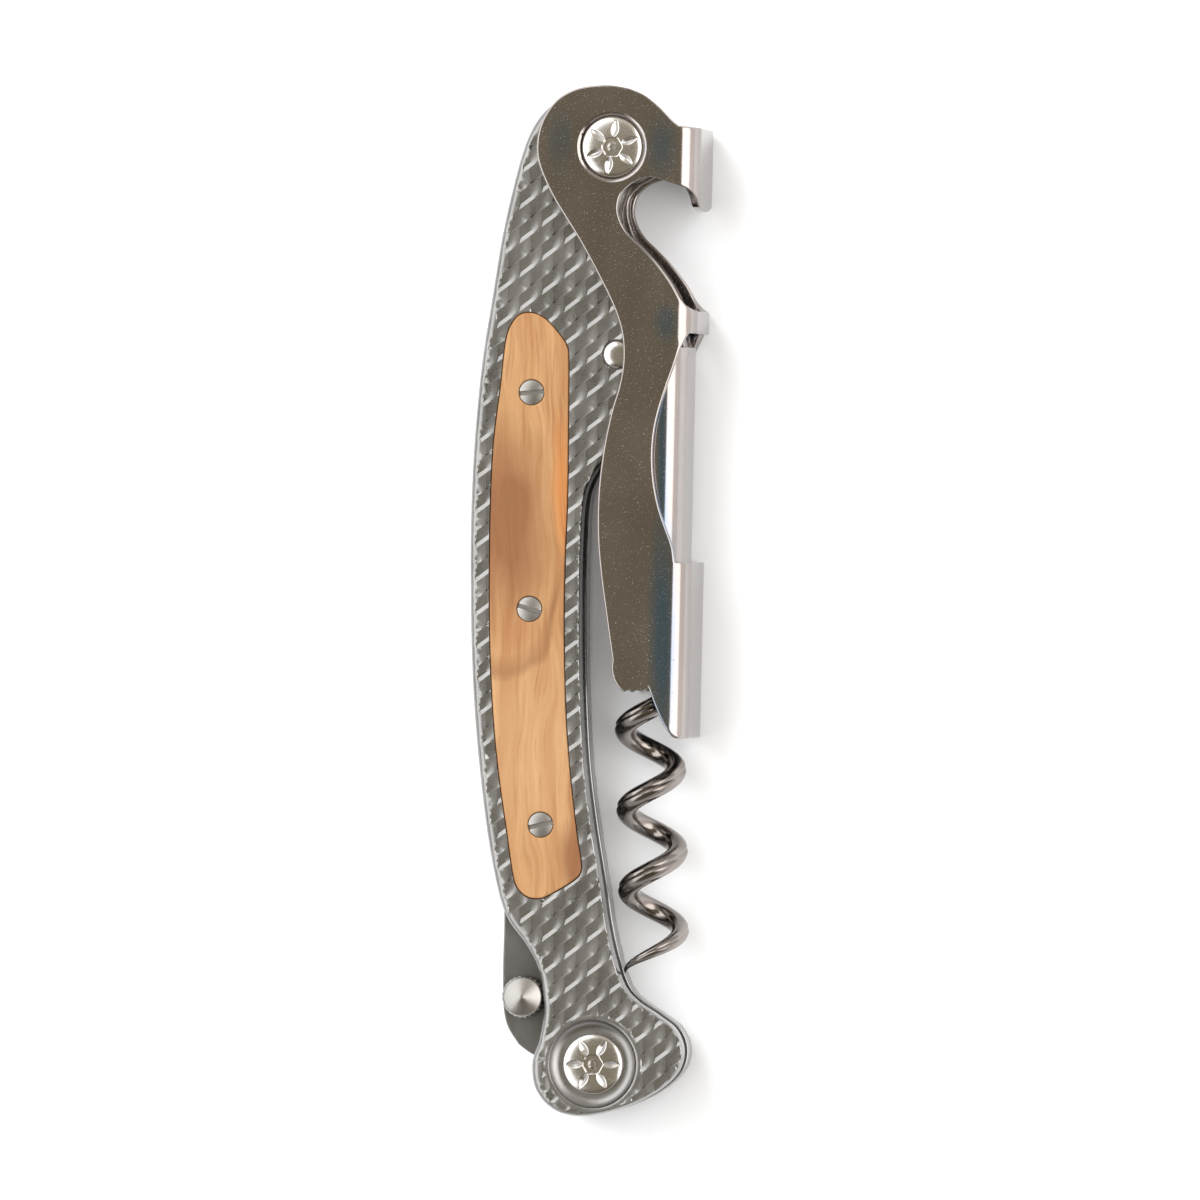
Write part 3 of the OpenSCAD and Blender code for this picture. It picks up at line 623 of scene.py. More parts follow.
def slotted_screws():
    """Three small countersunk screws with slotted heads."""
    shell = Shell()
    slot_half, slot_depth, head_r = 0.23, 0.38, 1.47
    for centre, turn in zip(INLAY_SCREWS, INLAY_SLOTS):
        c, s = math.cos(math.radians(turn)), math.sin(math.radians(turn))
        local = circle((0, 0), head_r - 0.06, 0.16)
        across = np.linspace(-head_r, head_r, 17)
        lines = [-slot_half - 0.03, -slot_half, slot_half, slot_half + 0.03]
        extra = [np.column_stack([across, np.full(17, v)]) for v in lines]
        extra += [lattice([local], 0.3)]
        extra = np.vstack(extra)
        extra = clear_of(extra, [local], 0.05)

        def lift(p):
            slot = 1 - ease(slot_half - 0.001, slot_half + 0.02, np.abs(p[:, 1]))
            dome = 0.17 * (1 - (np.linalg.norm(p, axis=1) / head_r) ** 2)
            z = HALF_T + 0.02 + dome * (1 - slot) - slot_depth * slot
            xy = np.array(centre) + np.column_stack([c * p[:, 0] - s * p[:, 1],
                                                     s * p[:, 0] + c * p[:, 1]])
            return np.column_stack([xy, z])

        ring = shell.patch(triangulate([local], extra), lift)[0]
        size = np.linalg.norm(local[0])
        for grow, z in ((0.03, -0.03), (0.06, -0.1), (0.06, -0.88)):
            p = local * (1 + grow / size)
            q = lift(p)
            q[:, 2] = np.minimum(q[:, 2], HALF_T + z)
            new = shell.add(q)
            shell.bridge(ring, new)
            ring = new
        tip = shell.add([(centre[0], centre[1], HALF_T - 0.88)])[0]
        shell.fan(tip, ring[::-1])
    return shell


# ---------------------------------------------------------------- pivots


def pivot(centre, head_z0, head_z1, rise, turn):
    """Domed head with a six-lobed socket and six cut petals, on its shank."""
    count = 240
    a = np.arange(count) * 2 * math.pi / count
    socket = 1.17 * (0.95 + 0.05 * np.cos(6 * a))

    def dome(r):
        return head_z1 + rise * np.sqrt(np.maximum(0, 1 - (r / HEAD_R) ** 2))

    def petals(r):
        """Depth of the six cut petals, which run out from the socket."""
        start, length, widest, steepness = 1.2, 1.95, 0.45, 0.55
        cut = np.zeros(count)
        q = np.clip((r - start) / length, 0, 1)
        half = widest * np.sin(math.pi * q ** 0.9) ** 0.75
        for k in range(6):
            side = a - math.radians(turn + 60 * k)
            side = np.arctan2(np.sin(side), np.cos(side))
            off = np.abs(r * np.sin(side))
            cut = np.where(np.cos(side) > 0, np.maximum(cut, steepness * (half - off)), cut)
        return cut

    floor = head_z1 + rise - 0.45
    rings = [(0, floor - 0.25), (0.35, floor - 0.22), (0.6, floor), (socket * 0.96, floor),
             (socket, dome(1.2) - 0.12), (socket * 1.05, dome(1.2) - 0.02)]
    for share in np.linspace(0, 1, 34):
        r = (1 - share) * socket * 1.1 + share * 3.12
        rings.append((r, dome(r) - petals(r)))
    for r in (3.25, 3.36, 3.43):
        rings.append((r, dome(r)))
    rings += [(3.48, head_z1 + 0.02), (HEAD_R, head_z1 - 0.04), (HEAD_R, head_z0 + 0.03),
              (HEAD_R - 0.03, head_z0), (BARREL_R - 0.02, head_z0), (BARREL_R - 0.02, 0.05), (0, 0.05)]
    shell = Shell()
    turned(shell, centre, rings, count)
    return shell


def worm_rivet():
    """Rivet with a low dome sunk in each scale."""
    z = HALF_T - 0.15
    r = 1.6
    dome = [(r * math.cos(t), z + 0.3 * math.sin(t)) for t in np.linspace(math.pi / 2, 0, 8)[1:]]
    top = [(0, z + 0.3), *dome, (r, z - 0.3), (1.25, z - 0.33), (1.25, 0.1)]
    rings = top + [(q, -h) for q, h in reversed(top)]
    shell = Shell()
    turned(shell, WORM_PIVOT, rings, 64)
    return shell


def stud():
    """Thumb stud: shallow cone with a knurled rim on a shank."""
    count = 240
    a = np.arange(count) * 2 * math.pi / count
    rib = np.abs(np.sin(12 * a))
    z0, r = 0.92, 2.45
    rings = [(0, 4.67), (0.15, 4.66), (0.35, 4.61), (1.2, 4.36), (2.05, 4.1), (2.2, 4.03),
             (2.3, 3.92), (2.32, 3.8)]
    cut = 0.13 * (1 - rib ** 0.7)
    for z, depth in ((3.64, 0.15), (3.58, 0.9), (3.4, 1.0), (1.7, 1.0), (1.5, 0.9), (1.42, 0.15)):
        rings.append((r - 0.1 + 0.1 * min(1, 2 * depth) - cut * depth, z))
    rings += [(2.25, 1.36), (1.6, 1.3), (1.6, z0), (1.1, z0 - 0.02), (1.1, -0.85), (0, -0.85)]
    shell = Shell()
    turned(shell, STUD, rings, count)
    return shell


# ---------------------------------------------------------------- levers


def spine_x(y, inset=0.0):
    return SPINE_FOOT[0] - inset + (y - SPINE_FOOT[1]) * math.tan(SPINE_TILT)


def to_spine(p):
    """Plane points in the levers' own frame: X from the folded edge, Y along it."""
    c, s = math.cos(SPINE_TILT), math.sin(SPINE_TILT)
    d = np.atleast_2d(p) - SPINE_FOOT
    return np.column_stack([c * d[:, 0] - s * d[:, 1], s * d[:, 0] + c * d[:, 1]])


class Fold:
    """Mapping between a flat blank and the sheet folded round the spine."""

    def __init__(self, inset, half):
        self.inset, self.half = inset, half
        self.flat = half - BEND_R
        self.mid = BEND_R - SHEET_T / 2
        self.arc = self.mid * math.pi / 2

    def unfold(self, p):
        """Cheek points to blank points: distance from the spine's middle, and along it."""
        q = to_spine(p)
        d = np.maximum(-self.inset - q[:, 0], 0)
        bend = self.mid * np.arccos(np.clip(1 - d / BEND_R, 0, 1))
        u = self.flat + np.where(d < BEND_R, bend, self.arc + d - BEND_R)
        return np.column_stack([u, q[:, 1]])

    def place(self, p, depth):
        side, u = np.sign(p[:, 0]), np.abs(p[:, 0])
        a = np.clip((u - self.flat) / self.mid, 0, math.pi / 2)
        r = BEND_R - depth
        x = -self.inset - BEND_R + r * np.cos(a) - np.maximum(u - self.flat - self.arc, 0)
        z = side * (np.minimum(u, self.flat) + r * np.sin(a))
        c, s = math.cos(SPINE_TILT), math.sin(SPINE_TILT)
        y = p[:, 1]
        return np.column_stack([SPINE_FOOT[0] + c * x + s * y, SPINE_FOOT[1] - s * x + c * y, z])

    def ring(self, chain, low=None, back_chain=None):
        """Closed loop of a chain on the front cheek, its mirror (or another chain) on the
        back one, and two lines across the spine."""
        front = self.unfold(chain)
        back = front if back_chain is None else self.unfold(back_chain)
        back = (back * [-1, 1])[::-1]
        u = np.linspace(self.flat, -self.flat, 25)[1:-1]
        ends = []
        for v, line in ((front[-1][1], low), (front[0][1], None)):
            across = np.full(len(u), v) if line is None else line(u)
            ends.append(np.column_stack([u, across]))
        return np.vstack([front, ends[0], back, ends[1] * [-1, 1]])

    def columns(self, v0, v1, step=0.5):
        """Points along the bends and the spine, on lines that run with the fold."""
        v = np.arange(v0, v1, step)
        steps = [self.flat + self.arc * k / 8 for k in range(9)]
        steps += [self.flat * k / 5 for k in range(5)]
        steps += [self.flat + self.arc + 0.4]
        runs = [np.column_stack([np.full(len(v), side * u), v]) for u in steps for side in (1, -1)]
        return np.vstack(runs)


def line_to(*points):
    return stretch(points, 0.5, last=False)


def lever_sheet():
    """Outer lever: folded sheet with hook, window, boot notch and pressed seats."""
    fold = Fold(0.0, HALF_LEVER)
    on_spine = lambda y: [spine_x(y), y]
    left = stretch(OUTER_LEFT, 0.4)
    foot = np.vstack([
        stretch(OUTER_TOE, 0.25, False), stretch(OUTER_SCALLOPS, 0.15), stretch(OUTER_BOOT, 0.3),
        line_to(OUTER_BOOT[-1], on_spine(BOOT_Y))[1:], [on_spine(BOOT_Y)]])
    body, back_body = [
        np.vstack([line_to(on_spine(HOOK_HIGH_Y), crown[0]), stretch(crown, 0.3, False),
                   left[left[:, 0] < crown[-1][0]] if skip else left, foot])
        for crown, skip in ((OUTER_CROWN, False), (BACK_CROWN, True))]
    window = np.vstack([
        line_to(on_spine(WINDOW_Y), OUTER_WINDOW[0]), stretch(OUTER_WINDOW, 0.3),
        line_to(OUTER_WINDOW[-1], on_spine(TAB_LOW_Y))[1:], [on_spine(TAB_LOW_Y)]])
    mouth = np.vstack([
        line_to(on_spine(TAB_HIGH_Y), OUTER_MOUTH[0]), stretch(OUTER_MOUTH, 0.3),
        line_to(OUTER_MOUTH[-1], on_spine(HOOK_LOW_Y))[1:], [on_spine(HOOK_LOW_Y)]])
    lip = lambda u: LIP_Y - SPINE_FOOT[1] + (HOOK_LOW_Y - LIP_Y) * (u / fold.flat) ** 2
    loops = [wound(fold.ring(body, back_chain=back_body)), wound(fold.ring(window), True),
             wound(fold.ring(mouth, low=lip), True)]
    pivot_uv = fold.unfold(LEVER_PIVOT)[0]
    seats = [pivot_uv * [side, 1] for side in (1, -1)]
    loops += [circle(c, RUNNING_R, 0.3, clockwise=True) for c in seats]
    low, high = loops[0].min(axis=0), loops[0].max(axis=0)
    seat_rings = (3.61, 3.65, 3.7, 3.76, 3.84, 3.93, 4.02, 4.12, 4.24, 4.4, 4.65, 4.9, 5.15)
    rings = [circle(c, r, 0.28) for c in seats for r in seat_rings]
    extra = clear_of(np.vstack([fold.columns(low[1], high[1]), *rings]), loops, 0.25)
    mesh_grid = lattice(loops, 1.6)
    far = np.abs(mesh_grid[:, 0]) > fold.flat + fold.arc + 0.9
    for c in seats:
        far &= np.linalg.norm(mesh_grid - c, axis=1) > 5.4
    extra = np.vstack([extra, mesh_grid[far]])

    def place(p, depth):
        r = np.minimum(*[np.linalg.norm(p - c, axis=1) for c in seats])
        sink = 0.48 * (1 - ease(3.62, 3.74, r)) + 0.13 * (1 - ease(3.7, 4.1, r))
        sink += 0.04 * (1 - ease(4.0, 5.1, r))
        return fold.place(p, depth + sink * (1 - depth / SHEET_T))

    shell = Shell()
    sheet(shell, loops, extra, place, SHEET_T, 0.16)
    return shell


def step_sheet():
    """Step lever: shorter folded sheet nested in the outer lever."""
    fold = Fold(STEP_INSET, STEP_HALF)
    on_spine = lambda y: [spine_x(y, STEP_INSET), y]
    body = np.vstack([
        line_to(on_spine(STEP_HIGH_Y), [10.8, STEP_HIGH_Y], STEP_RIGHT[0]),
        stretch(STEP_RIGHT, 0.4, False), stretch(STEP_LEFT, 0.4, False),
        stretch(STEP_TOE, 0.3), stretch(STEP_BOOT, 0.3),
        line_to(STEP_BOOT[-1], on_spine(STEP_LOW_Y))[1:], [on_spine(STEP_LOW_Y)]])
    loops = [wound(fold.ring(body))]
    pivot_uv = fold.unfold(LEVER_PIVOT)[0]
    loops += [circle(pivot_uv * [side, 1], RUNNING_R, 0.3, clockwise=True) for side in (1, -1)]
    low, high = loops[0].min(axis=0), loops[0].max(axis=0)
    extra = clear_of(fold.columns(low[1], high[1]), loops, 0.25)
    mesh_grid = lattice(loops, 2.0)
    mesh_grid = mesh_grid[np.abs(mesh_grid[:, 0]) > fold.flat + fold.arc + 1.1]
    shell = Shell()
    sheet(shell, loops, np.vstack([extra, mesh_grid]), fold.place, SHEET_T, 0.14)
    return shell


# ---------------------------------------------------------------- worm and blade

WIRE_R, TIP_R, HELIX_R, HELIX_PITCH, TURNS = 1.2, 0.12, 2.95, 9.4, 5
WORM_TIP_Y, EASE_IN = -43.5, 4.0
HELIX_TOP_Y = WORM_TIP_Y + TURNS * HELIX_PITCH + EASE_IN / 2
WORM_TOP_Y = 26.85
EYE_R = 3.0


def worm_frame(y):
    """Middle of the wire, its outward direction and radius at the height y."""
    u = max(HELIX_TOP_Y - y, 0.0)
    turned_by = u * u / (2 * EASE_IN) if u < EASE_IN else u - EASE_IN / 2
    a = -math.pi / 2 - 2 * math.pi / HELIX_PITCH * turned_by
    s = min(1.0, (y - WORM_TIP_Y) / (0.8 * HELIX_PITCH))
    r = TIP_R + (WIRE_R - TIP_R) * math.sin(math.pi / 2 * s)
    out = HELIX_R + 0.5 * (WIRE_R - r)
    way = np.array([math.sin(a), 0, math.cos(a)])
    return np.array([6.6 - 0.0208 * y, y, 0]) + out * way, way, r


def worm_wire():
    """Fluted wire wound into the worm, with its straight shank and eye."""
    phi = np.radians(np.concatenate([np.arange(-24, 25, 4), np.arange(36, 330, 12)]))
    groove = np.clip(1 - np.abs(phi) / math.radians(15), 0, 1)
    phi += math.radians(12)
    heights = list(np.linspace(WORM_TOP_Y + 0.6, HELIX_TOP_Y, 24)[:-1])
    heights += list(np.linspace(HELIX_TOP_Y, WORM_TIP_Y, 330))
    shell = Shell()
    last = None
    for y in heights:
        point, way, r = worm_frame(y)
        t = worm_frame(y - 0.01)[0] - worm_frame(y + 0.01)[0]
        t /= np.linalg.norm(t)
        n = way - way.dot(t) * t
        n /= np.linalg.norm(n)
        b = np.cross(t, n)
        thick = min(1.0, (r - TIP_R) / (WIRE_R - TIP_R) * 1.4)
        cut = 0.15 * ease(HELIX_TOP_Y + 1, HELIX_TOP_Y - 4, y) * thick
        radius = r * (1 - cut * groove)
        spokes = np.cos(phi)[:, None] * n + np.sin(phi)[:, None] * b
        ring = shell.add(point + radius[:, None] * spokes)
        if last is None:
            tip = shell.add([point])[0]
            shell.fan(tip, ring)
        else:
            shell.bridge(last, ring)
        last = ring
    tip = shell.add([point + 0.12 * t])[0]
    shell.fan(tip, last[::-1])

    eye = [circle(WORM_PIVOT, EYE_R, 0.3), circle(WORM_PIVOT, 1.3, 0.25, clockwise=True)]
    place = lambda p, depth: np.column_stack([p, WIRE_R - depth])
    sheet(shell, eye, lattice(eye, 0.6), place, 2 * WIRE_R, 0.55, 6)
    return shell


def foil_blade():
    """Blade with a ground bevel and fine serrations."""
    tooth_steps, depth = 8, 0.35
    fine = np.array(BLADE_EDGE)
    edge = np.vstack([between(fine[max(i - 1, 0)], fine[i], fine[i + 1], fine[min(i + 2, 4)],
                              np.arange(3 * tooth_steps) / (3 * tooth_steps)) for i in range(4)])
    along = np.gradient(edge, axis=0)
    along /= np.linalg.norm(along, axis=1)[:, None]
    way = np.column_stack([-along[:, 1], along[:, 0]])
    wave = np.abs(np.sin(np.pi * np.arange(len(edge)) / tooth_steps))
    cut = edge - depth * wave[:, None] * way * np.sign(way[:, 0])[:, None]
    tang = BLADE_PIVOT + 4.6 * np.array([[math.cos(a), math.sin(a)]
                                         for a in np.radians(np.arange(80, -188, -5))])
    outline = np.vstack([stretch(BLADE_HEEL, 0.4, False), stretch(BLADE_BACK, 0.5, False), cut,
                         stretch(BLADE_RICASSO, 0.5, False), tang])
    loops = [wound(outline), circle(BLADE_PIVOT, RUNNING_R, 0.3, clockwise=True),
             circle(STUD, 1.12, 0.3, clockwise=True)]

    def place(p, down):
        half = 0.9 - 0.72 * (1 - np.clip((nearest(p, edge) - 0.2) / 2.6, 0, 1))
        return np.column_stack([p, half * (1 - down / 0.9)])

    shell = Shell()
    sheet(shell, loops, lattice(loops, 0.8), place, 1.8, 0.1)
    return shell


def leaf_spring():
    """Spring between the scales, with the lug for its rivet."""
    line = stretch(SPRING, 0.5)
    along = np.gradient(line, axis=0)
    along /= np.linalg.norm(along, axis=1)[:, None]
    way = np.column_stack([along[:, 1], -along[:, 0]])
    outline = wound(np.vstack([line + 1.1 * way, (line - 1.1 * way)[::-1]]))
    shell = plate([outline], HALF_SLOT - 0.1, 0.1 - HALF_SLOT, 2.0, 0.15)
    lug_at = middle("spring_rivet")[:2]
    lug = [circle(lug_at, 1.7, 0.3), circle(lug_at, 0.82, 0.3, clockwise=True)]
    place = lambda p, depth: np.column_stack([p, HALF_SLOT - 0.12 - depth])
    sheet(shell, lug, lattice(lug, 0.6), place, 2 * (HALF_SLOT - 0.12), 0.12)
    return shell


# ---------------------------------------------------------------- materials


class Paint:
    """Node tree of one procedural material, in millimetres of the object's own frame."""

    def __init__(self, name):
        self.material = bpy.data.materials.new(name)
        self.material.use_nodes = True
        self.tree = self.material.node_tree
        self.shader = self.tree.nodes["Principled BSDF"]
        coords = self.put("ShaderNodeTexCoord").outputs["Object"]
        scaled = self.put("ShaderNodeVectorMath", {0: coords, "Scale": 1 / MM}, operation="SCALE")
        self.place = scaled.outputs[0]

    def put(self, kind, inputs=None, **settings):
        node = self.tree.nodes.new(kind)
        for key, value in settings.items():
            setattr(node, key, value)
        for key, value in (inputs or {}).items():
            if isinstance(value, bpy.types.NodeSocket):
                self.tree.links.new(value, node.inputs[key])
            else:
                node.inputs[key].default_value = value
        return node

    def stretched(self, size, offset=(0, 0, 0)):
        """Coordinates scaled by size on each axis."""
        return self.put("ShaderNodeMapping", {"Vector": self.place, "Scale": size,
                                              "Location": offset}).outputs[0]

    def noise(self, size, detail=4.0, rough=0.5, warp=0.0, offset=(0, 0, 0)):
        node = self.put("ShaderNodeTexNoise", {
            "Vector": self.stretched(size, offset), "Scale": 1.0, "Detail": detail,
            "Roughness": rough, "Distortion": warp})
        return node.outputs["Fac"]

    def span(self, value, low, high, to_low=0.0, to_high=1.0):
        node = self.put("ShaderNodeMapRange", {
            "Value": value, "From Min": low, "From Max": high, "To Min": to_low, "To Max": to_high})
        return node.outputs[0]

    def math(self, kind, a, b=0.0):
        return self.put("ShaderNodeMath", {0: a, 1: b}, operation=kind).outputs[0]

    def mix(self, share, a, b):
        a, b = [(*v, 1.0) if isinstance(v, tuple) else v for v in (a, b)]
        return self.put("ShaderNodeMix", {0: share, 6: a, 7: b}, data_type="RGBA").outputs[2]

    def blot(self, centre, size, edge=0.35, ripple=0.3):
        """Soft-edged patch, 1 at its centre and 0 outside, with a wavering edge."""
        offset = tuple(-c * s for c, s in zip(centre, [1 / v for v in size]))
        q = self.stretched(tuple(1 / v for v in size), offset)
        reach = self.put("ShaderNodeVectorMath", {0: q}, operation="LENGTH").outputs["Value"]
        waver = self.math("MULTIPLY", self.noise((0.25, 0.12, 0.25), 3), ripple * 2)
        total = self.math("ADD", reach, waver)
        return self.span(total, 1 + ripple + edge, 1 + ripple - edge, 0.0, 1.0)

    def bump(self, height, distance):
        return self.put("ShaderNodeBump", {"Height": height, "Distance": distance * MM}).outputs[0]

    def link(self, socket, value):
        self.tree.links.new(value, self.shader.inputs[socket])


def metal(name, dark, light, rough, grain=(3, 3, 3), depth=0.004, worn=0.25,
          cloud_size=(0.22, 0.16, 0.22)):
    """Steel-like finish: clouded tone, uneven gloss, fine surface grain and brighter edges."""
    paint = Paint(name)
    paint.shader.inputs["Metallic"].default_value = 1.0
    cloud = paint.noise(cloud_size, 5, 0.6)
    fine = paint.noise(grain, 5, 0.6)
    tone = paint.mix(paint.span(cloud, 0.35, 0.65), dark, light)
    if worn:
        edge = paint.put("ShaderNodeNewGeometry").outputs["Pointiness"]
        edge = paint.span(edge, 0.52, 0.58, 0.0, worn)
        tone = paint.mix(edge, tone, tuple(min(1.0, c * 1.35) for c in light))
    paint.link("Base Color", tone)
    gloss = paint.math("ADD", paint.span(cloud, 0.3, 0.7, rough[0], rough[1]),
                       paint.span(fine, 0.3, 0.7, -0.04, 0.05))
    paint.link("Roughness", gloss)
    paint.link("Normal", paint.bump(fine, depth))
    return paint


def nickel():
    """Bright nickel plate: sparse glinting grains, painted bluish reflections near the bends and painted
    shade along the spine.
    """
    paint = Paint("nickel_sheet")
    paint.shader.inputs["Metallic"].default_value = 1.0
    cloud = paint.noise((0.12, 0.08, 0.12), 4, 0.55)
    tone = paint.mix(paint.span(cloud, 0.35, 0.65), (0.36, 0.328, 0.312), (0.41, 0.373, 0.357))
    x, y, z = paint.put("ShaderNodeSeparateXYZ", {0: paint.place}).outputs
    step_cheek = paint.span(paint.math("ABSOLUTE", z), STEP_HALF + 0.2, STEP_HALF + 0.1, 0.0, 0.9)
    # Painted reflection: blue patches near the bends, on the hook, the tab, the lower spine and on the
    # step lever in the window, where the plate reflects blue
    for centre, size, share in (
            ((-2.6, 53.6, 7), (1.1, 2.8, 30), 0.4), ((9.3, 52.6, 7), (1.4, 2.6, 30), 0.6),
            ((9.8, 32.2, 7), (1.1, 1.8, 30), 0.6), ((9.35, -4.5, 7), (1.2, 10.5, 30), 0.95),
            ((9.15, 16.5, 7), (0.5, 10.5, 30), step_cheek)):
        painted_blue_reflection = paint.math("MULTIPLY", paint.blot(centre, size, 0.6, 0.25), share)
        tone = paint.mix(painted_blue_reflection, tone, (0.17, 0.27, 0.40))
    # Painted shade: the spine's face is painted darker, standing in for the shadowed floor that it
    # reflects
    across = paint.math("SUBTRACT", x, paint.math("MULTIPLY", y, math.tan(SPINE_TILT)))
    spine = paint.span(across, 12.0, 12.35, 0.0, 0.55)
    tone = paint.mix(spine, tone, (0.22, 0.195, 0.19))
    paint.link("Base Color", tone)
    grains = paint.noise((6.5, 6.5, 6.5), 1, 0.5)
    glint = paint.span(grains, 0.69, 0.74, 0.0, 0.5)
    paint.link("Roughness", paint.math("ADD", paint.span(cloud, 0.3, 0.7, 0.10, 0.15), glint))
    fine = paint.noise((5, 5, 5), 4, 0.6)
    paint.link("Normal", paint.bump(fine, 0.002))
    return paint


def wood():
    """Oiled olive wood with long grain, a brown heart zone and fine pores."""
    paint = Paint("olive_wood")
    swirl = paint.math("SUBTRACT", paint.noise((0.13, 0.055, 0.13), 2, 0.5), 0.5)
    bent = paint.put("ShaderNodeVectorMath", {0: (5.0, 0, 0), "Scale": swirl}, operation="SCALE")
    bent = paint.put("ShaderNodeVectorMath", {0: paint.place, 1: bent.outputs[0]}, operation="ADD")
    paint.place = bent.outputs[0]
    grain = paint.noise((1.5, 0.07, 1.5), 6, 0.6, 0.3)
    wide = paint.noise((0.42, 0.03, 0.42), 3, 0.5, 0.8)
    fibre = paint.noise((9, 0.35, 9), 4, 0.6)
    tone = paint.mix(paint.span(grain, 0.3, 0.7), (0.285, 0.146, 0.056), (0.40, 0.23, 0.105))
    tone = paint.mix(paint.span(wide, 0.45, 0.6, 0.0, 0.75), tone, (0.26, 0.113, 0.038))
    heart = paint.blot((-9.4, 9.0, HALF_T), (3.9, 9.5, 40), 0.5, 0.3)
    tone = paint.mix(paint.math("MULTIPLY", heart, 0.85), tone, (0.15, 0.055, 0.018))
    for centre, size, share, shade in (
            ((-2.4, 12.5, HALF_T), (1.3, 7.5, 40), 0.75, (0.40, 0.15, 0.035)),
            ((-8.4, -4.0, HALF_T), (2.2, 2.6, 40), 0.6, (0.28, 0.125, 0.05)),
            ((-1.9, -30.0, HALF_T), (1.5, 3.6, 40), 0.8, (0.16, 0.065, 0.025))):
        spot = paint.math("MULTIPLY", paint.blot(centre, size, 0.5, 0.35), share)
        tone = paint.mix(spot, tone, shade)
    outer = paint.blot((-9.5, 2.0, HALF_T), (6.3, 11.1, 40), 0.05, 0.12)
    inner = paint.blot((-9.5, 2.0, HALF_T), (5.6, 10.0, 40), 0.14, 0.12)
    arch = paint.math("MULTIPLY", outer, paint.math("SUBTRACT", 1.0, inner))
    _, y, _ = paint.put("ShaderNodeSeparateXYZ", {0: paint.place}).outputs
    arch = paint.math("MULTIPLY", arch, paint.span(y, 8.0, -1.0, 0.0, 0.85))
    tone = paint.mix(arch, tone, (0.13, 0.045, 0.012))
    pale = paint.blot((-6.5, -16.0, HALF_T), (7, 9, 40), 0.5, 0.3)
    tone = paint.mix(paint.math("MULTIPLY", pale, 0.35), tone, (0.43, 0.265, 0.135))
    streaks = paint.span(paint.noise((2.6, 0.09, 2.6), 3, 0.5, 0.8, (4, 2, 0)), 0.56, 0.66, 0.0, 0.5)
    tone = paint.mix(streaks, tone, (0.22, 0.092, 0.033))
    pores = paint.span(fibre, 0.6, 0.78, 0.0, 0.4)
    tone = paint.mix(pores, tone, (0.18, 0.08, 0.033))
    paint.link("Base Color", tone)
    paint.link("Roughness", paint.span(grain, 0.3, 0.7, 0.42, 0.56))
    paint.link("Normal", paint.bump(fibre, 0.012))
    paint.shader.inputs["Specular IOR Level"].default_value = 0.35
    return paint


# Dark and light tone, range of roughness, scale and depth of the surface grain, wear on the
# edges, scale of the clouds
STEELS = {
    "textured_steel": ((0.275, 0.27, 0.262), (0.345, 0.338, 0.33), (0.27, 0.33), (6, 6, 6), 0.006),
    # The wall finish is dark steel whose dark and light bands along its height are painted: painted
    # reflections of the lever and worm, and painted shade in the slot
    "wall_steel": ((0.01, 0.01, 0.01), (0.42, 0.41, 0.40), (0.12, 0.2), (0.1, 0.1, 9), 0.004,
                   0.25, (0.03, 0.03, 0.6)),
    "screw_steel": ((0.33, 0.318, 0.30), (0.42, 0.405, 0.385), (0.28, 0.36), (1.2, 14, 5)),
    "pivot_steel": ((0.60, 0.575, 0.55), (0.70, 0.675, 0.65), (0.14, 0.2), (6, 6, 6), 0.002),
    "frame_steel": ((0.09, 0.087, 0.082), (0.15, 0.146, 0.14), (0.3, 0.42), (4, 4, 4)),
    "spring_steel": ((0.05, 0.047, 0.045), (0.1, 0.096, 0.092), (0.28, 0.4), (1, 9, 4)),
    "bronze": ((0.407, 0.244, 0.0963), (0.489, 0.311, 0.133), (0.3, 0.42)),
    "worm_steel": ((0.25, 0.224, 0.205), (0.31, 0.28, 0.26), (0.13, 0.19), (2, 2, 2), 0.0006, 0.0),
    "blade_steel": ((0.18, 0.174, 0.17), (0.22, 0.214, 0.208), (0.3, 0.38), (14, 1.2, 5)),
}


def finishes():
    """All materials, by the record's slot names."""
    paints = {name: metal(name, *look) for name, look in STEELS.items()}
    paints["olive_wood"] = wood()
    paints["nickel_sheet"] = nickel()
    return {name: paint.material for name, paint in paints.items()}


FINISHES = finishes()

# ---------------------------------------------------------------- studio


def add_floor():
    """Plain pale floor that the object lies on."""
    size, z = 3.0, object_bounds()[0][2] - 0.00002
    mesh = bpy.data.meshes.new("floor")
    mesh.from_pydata([(-size, -size, z), (size, -size, z), (size, size, z), (-size, size, z)],
                     [], [(0, 1, 2, 3)])
    floor = bpy.data.objects.new("floor", mesh)
    bpy.context.scene.collection.objects.link(floor)
    paint = Paint("floor_white")
    paint.shader.inputs["Base Color"].default_value = (0.72, 0.735, 0.75, 1)
    paint.shader.inputs["Roughness"].default_value = 0.9
    paint.shader.inputs["Specular IOR Level"].default_value = 0.0
    paint.shader.inputs["Emission Color"].default_value = (1, 1, 1, 1)
    paint.shader.inputs["Emission Strength"].default_value = 0.08
    mesh.materials.append(paint.material)


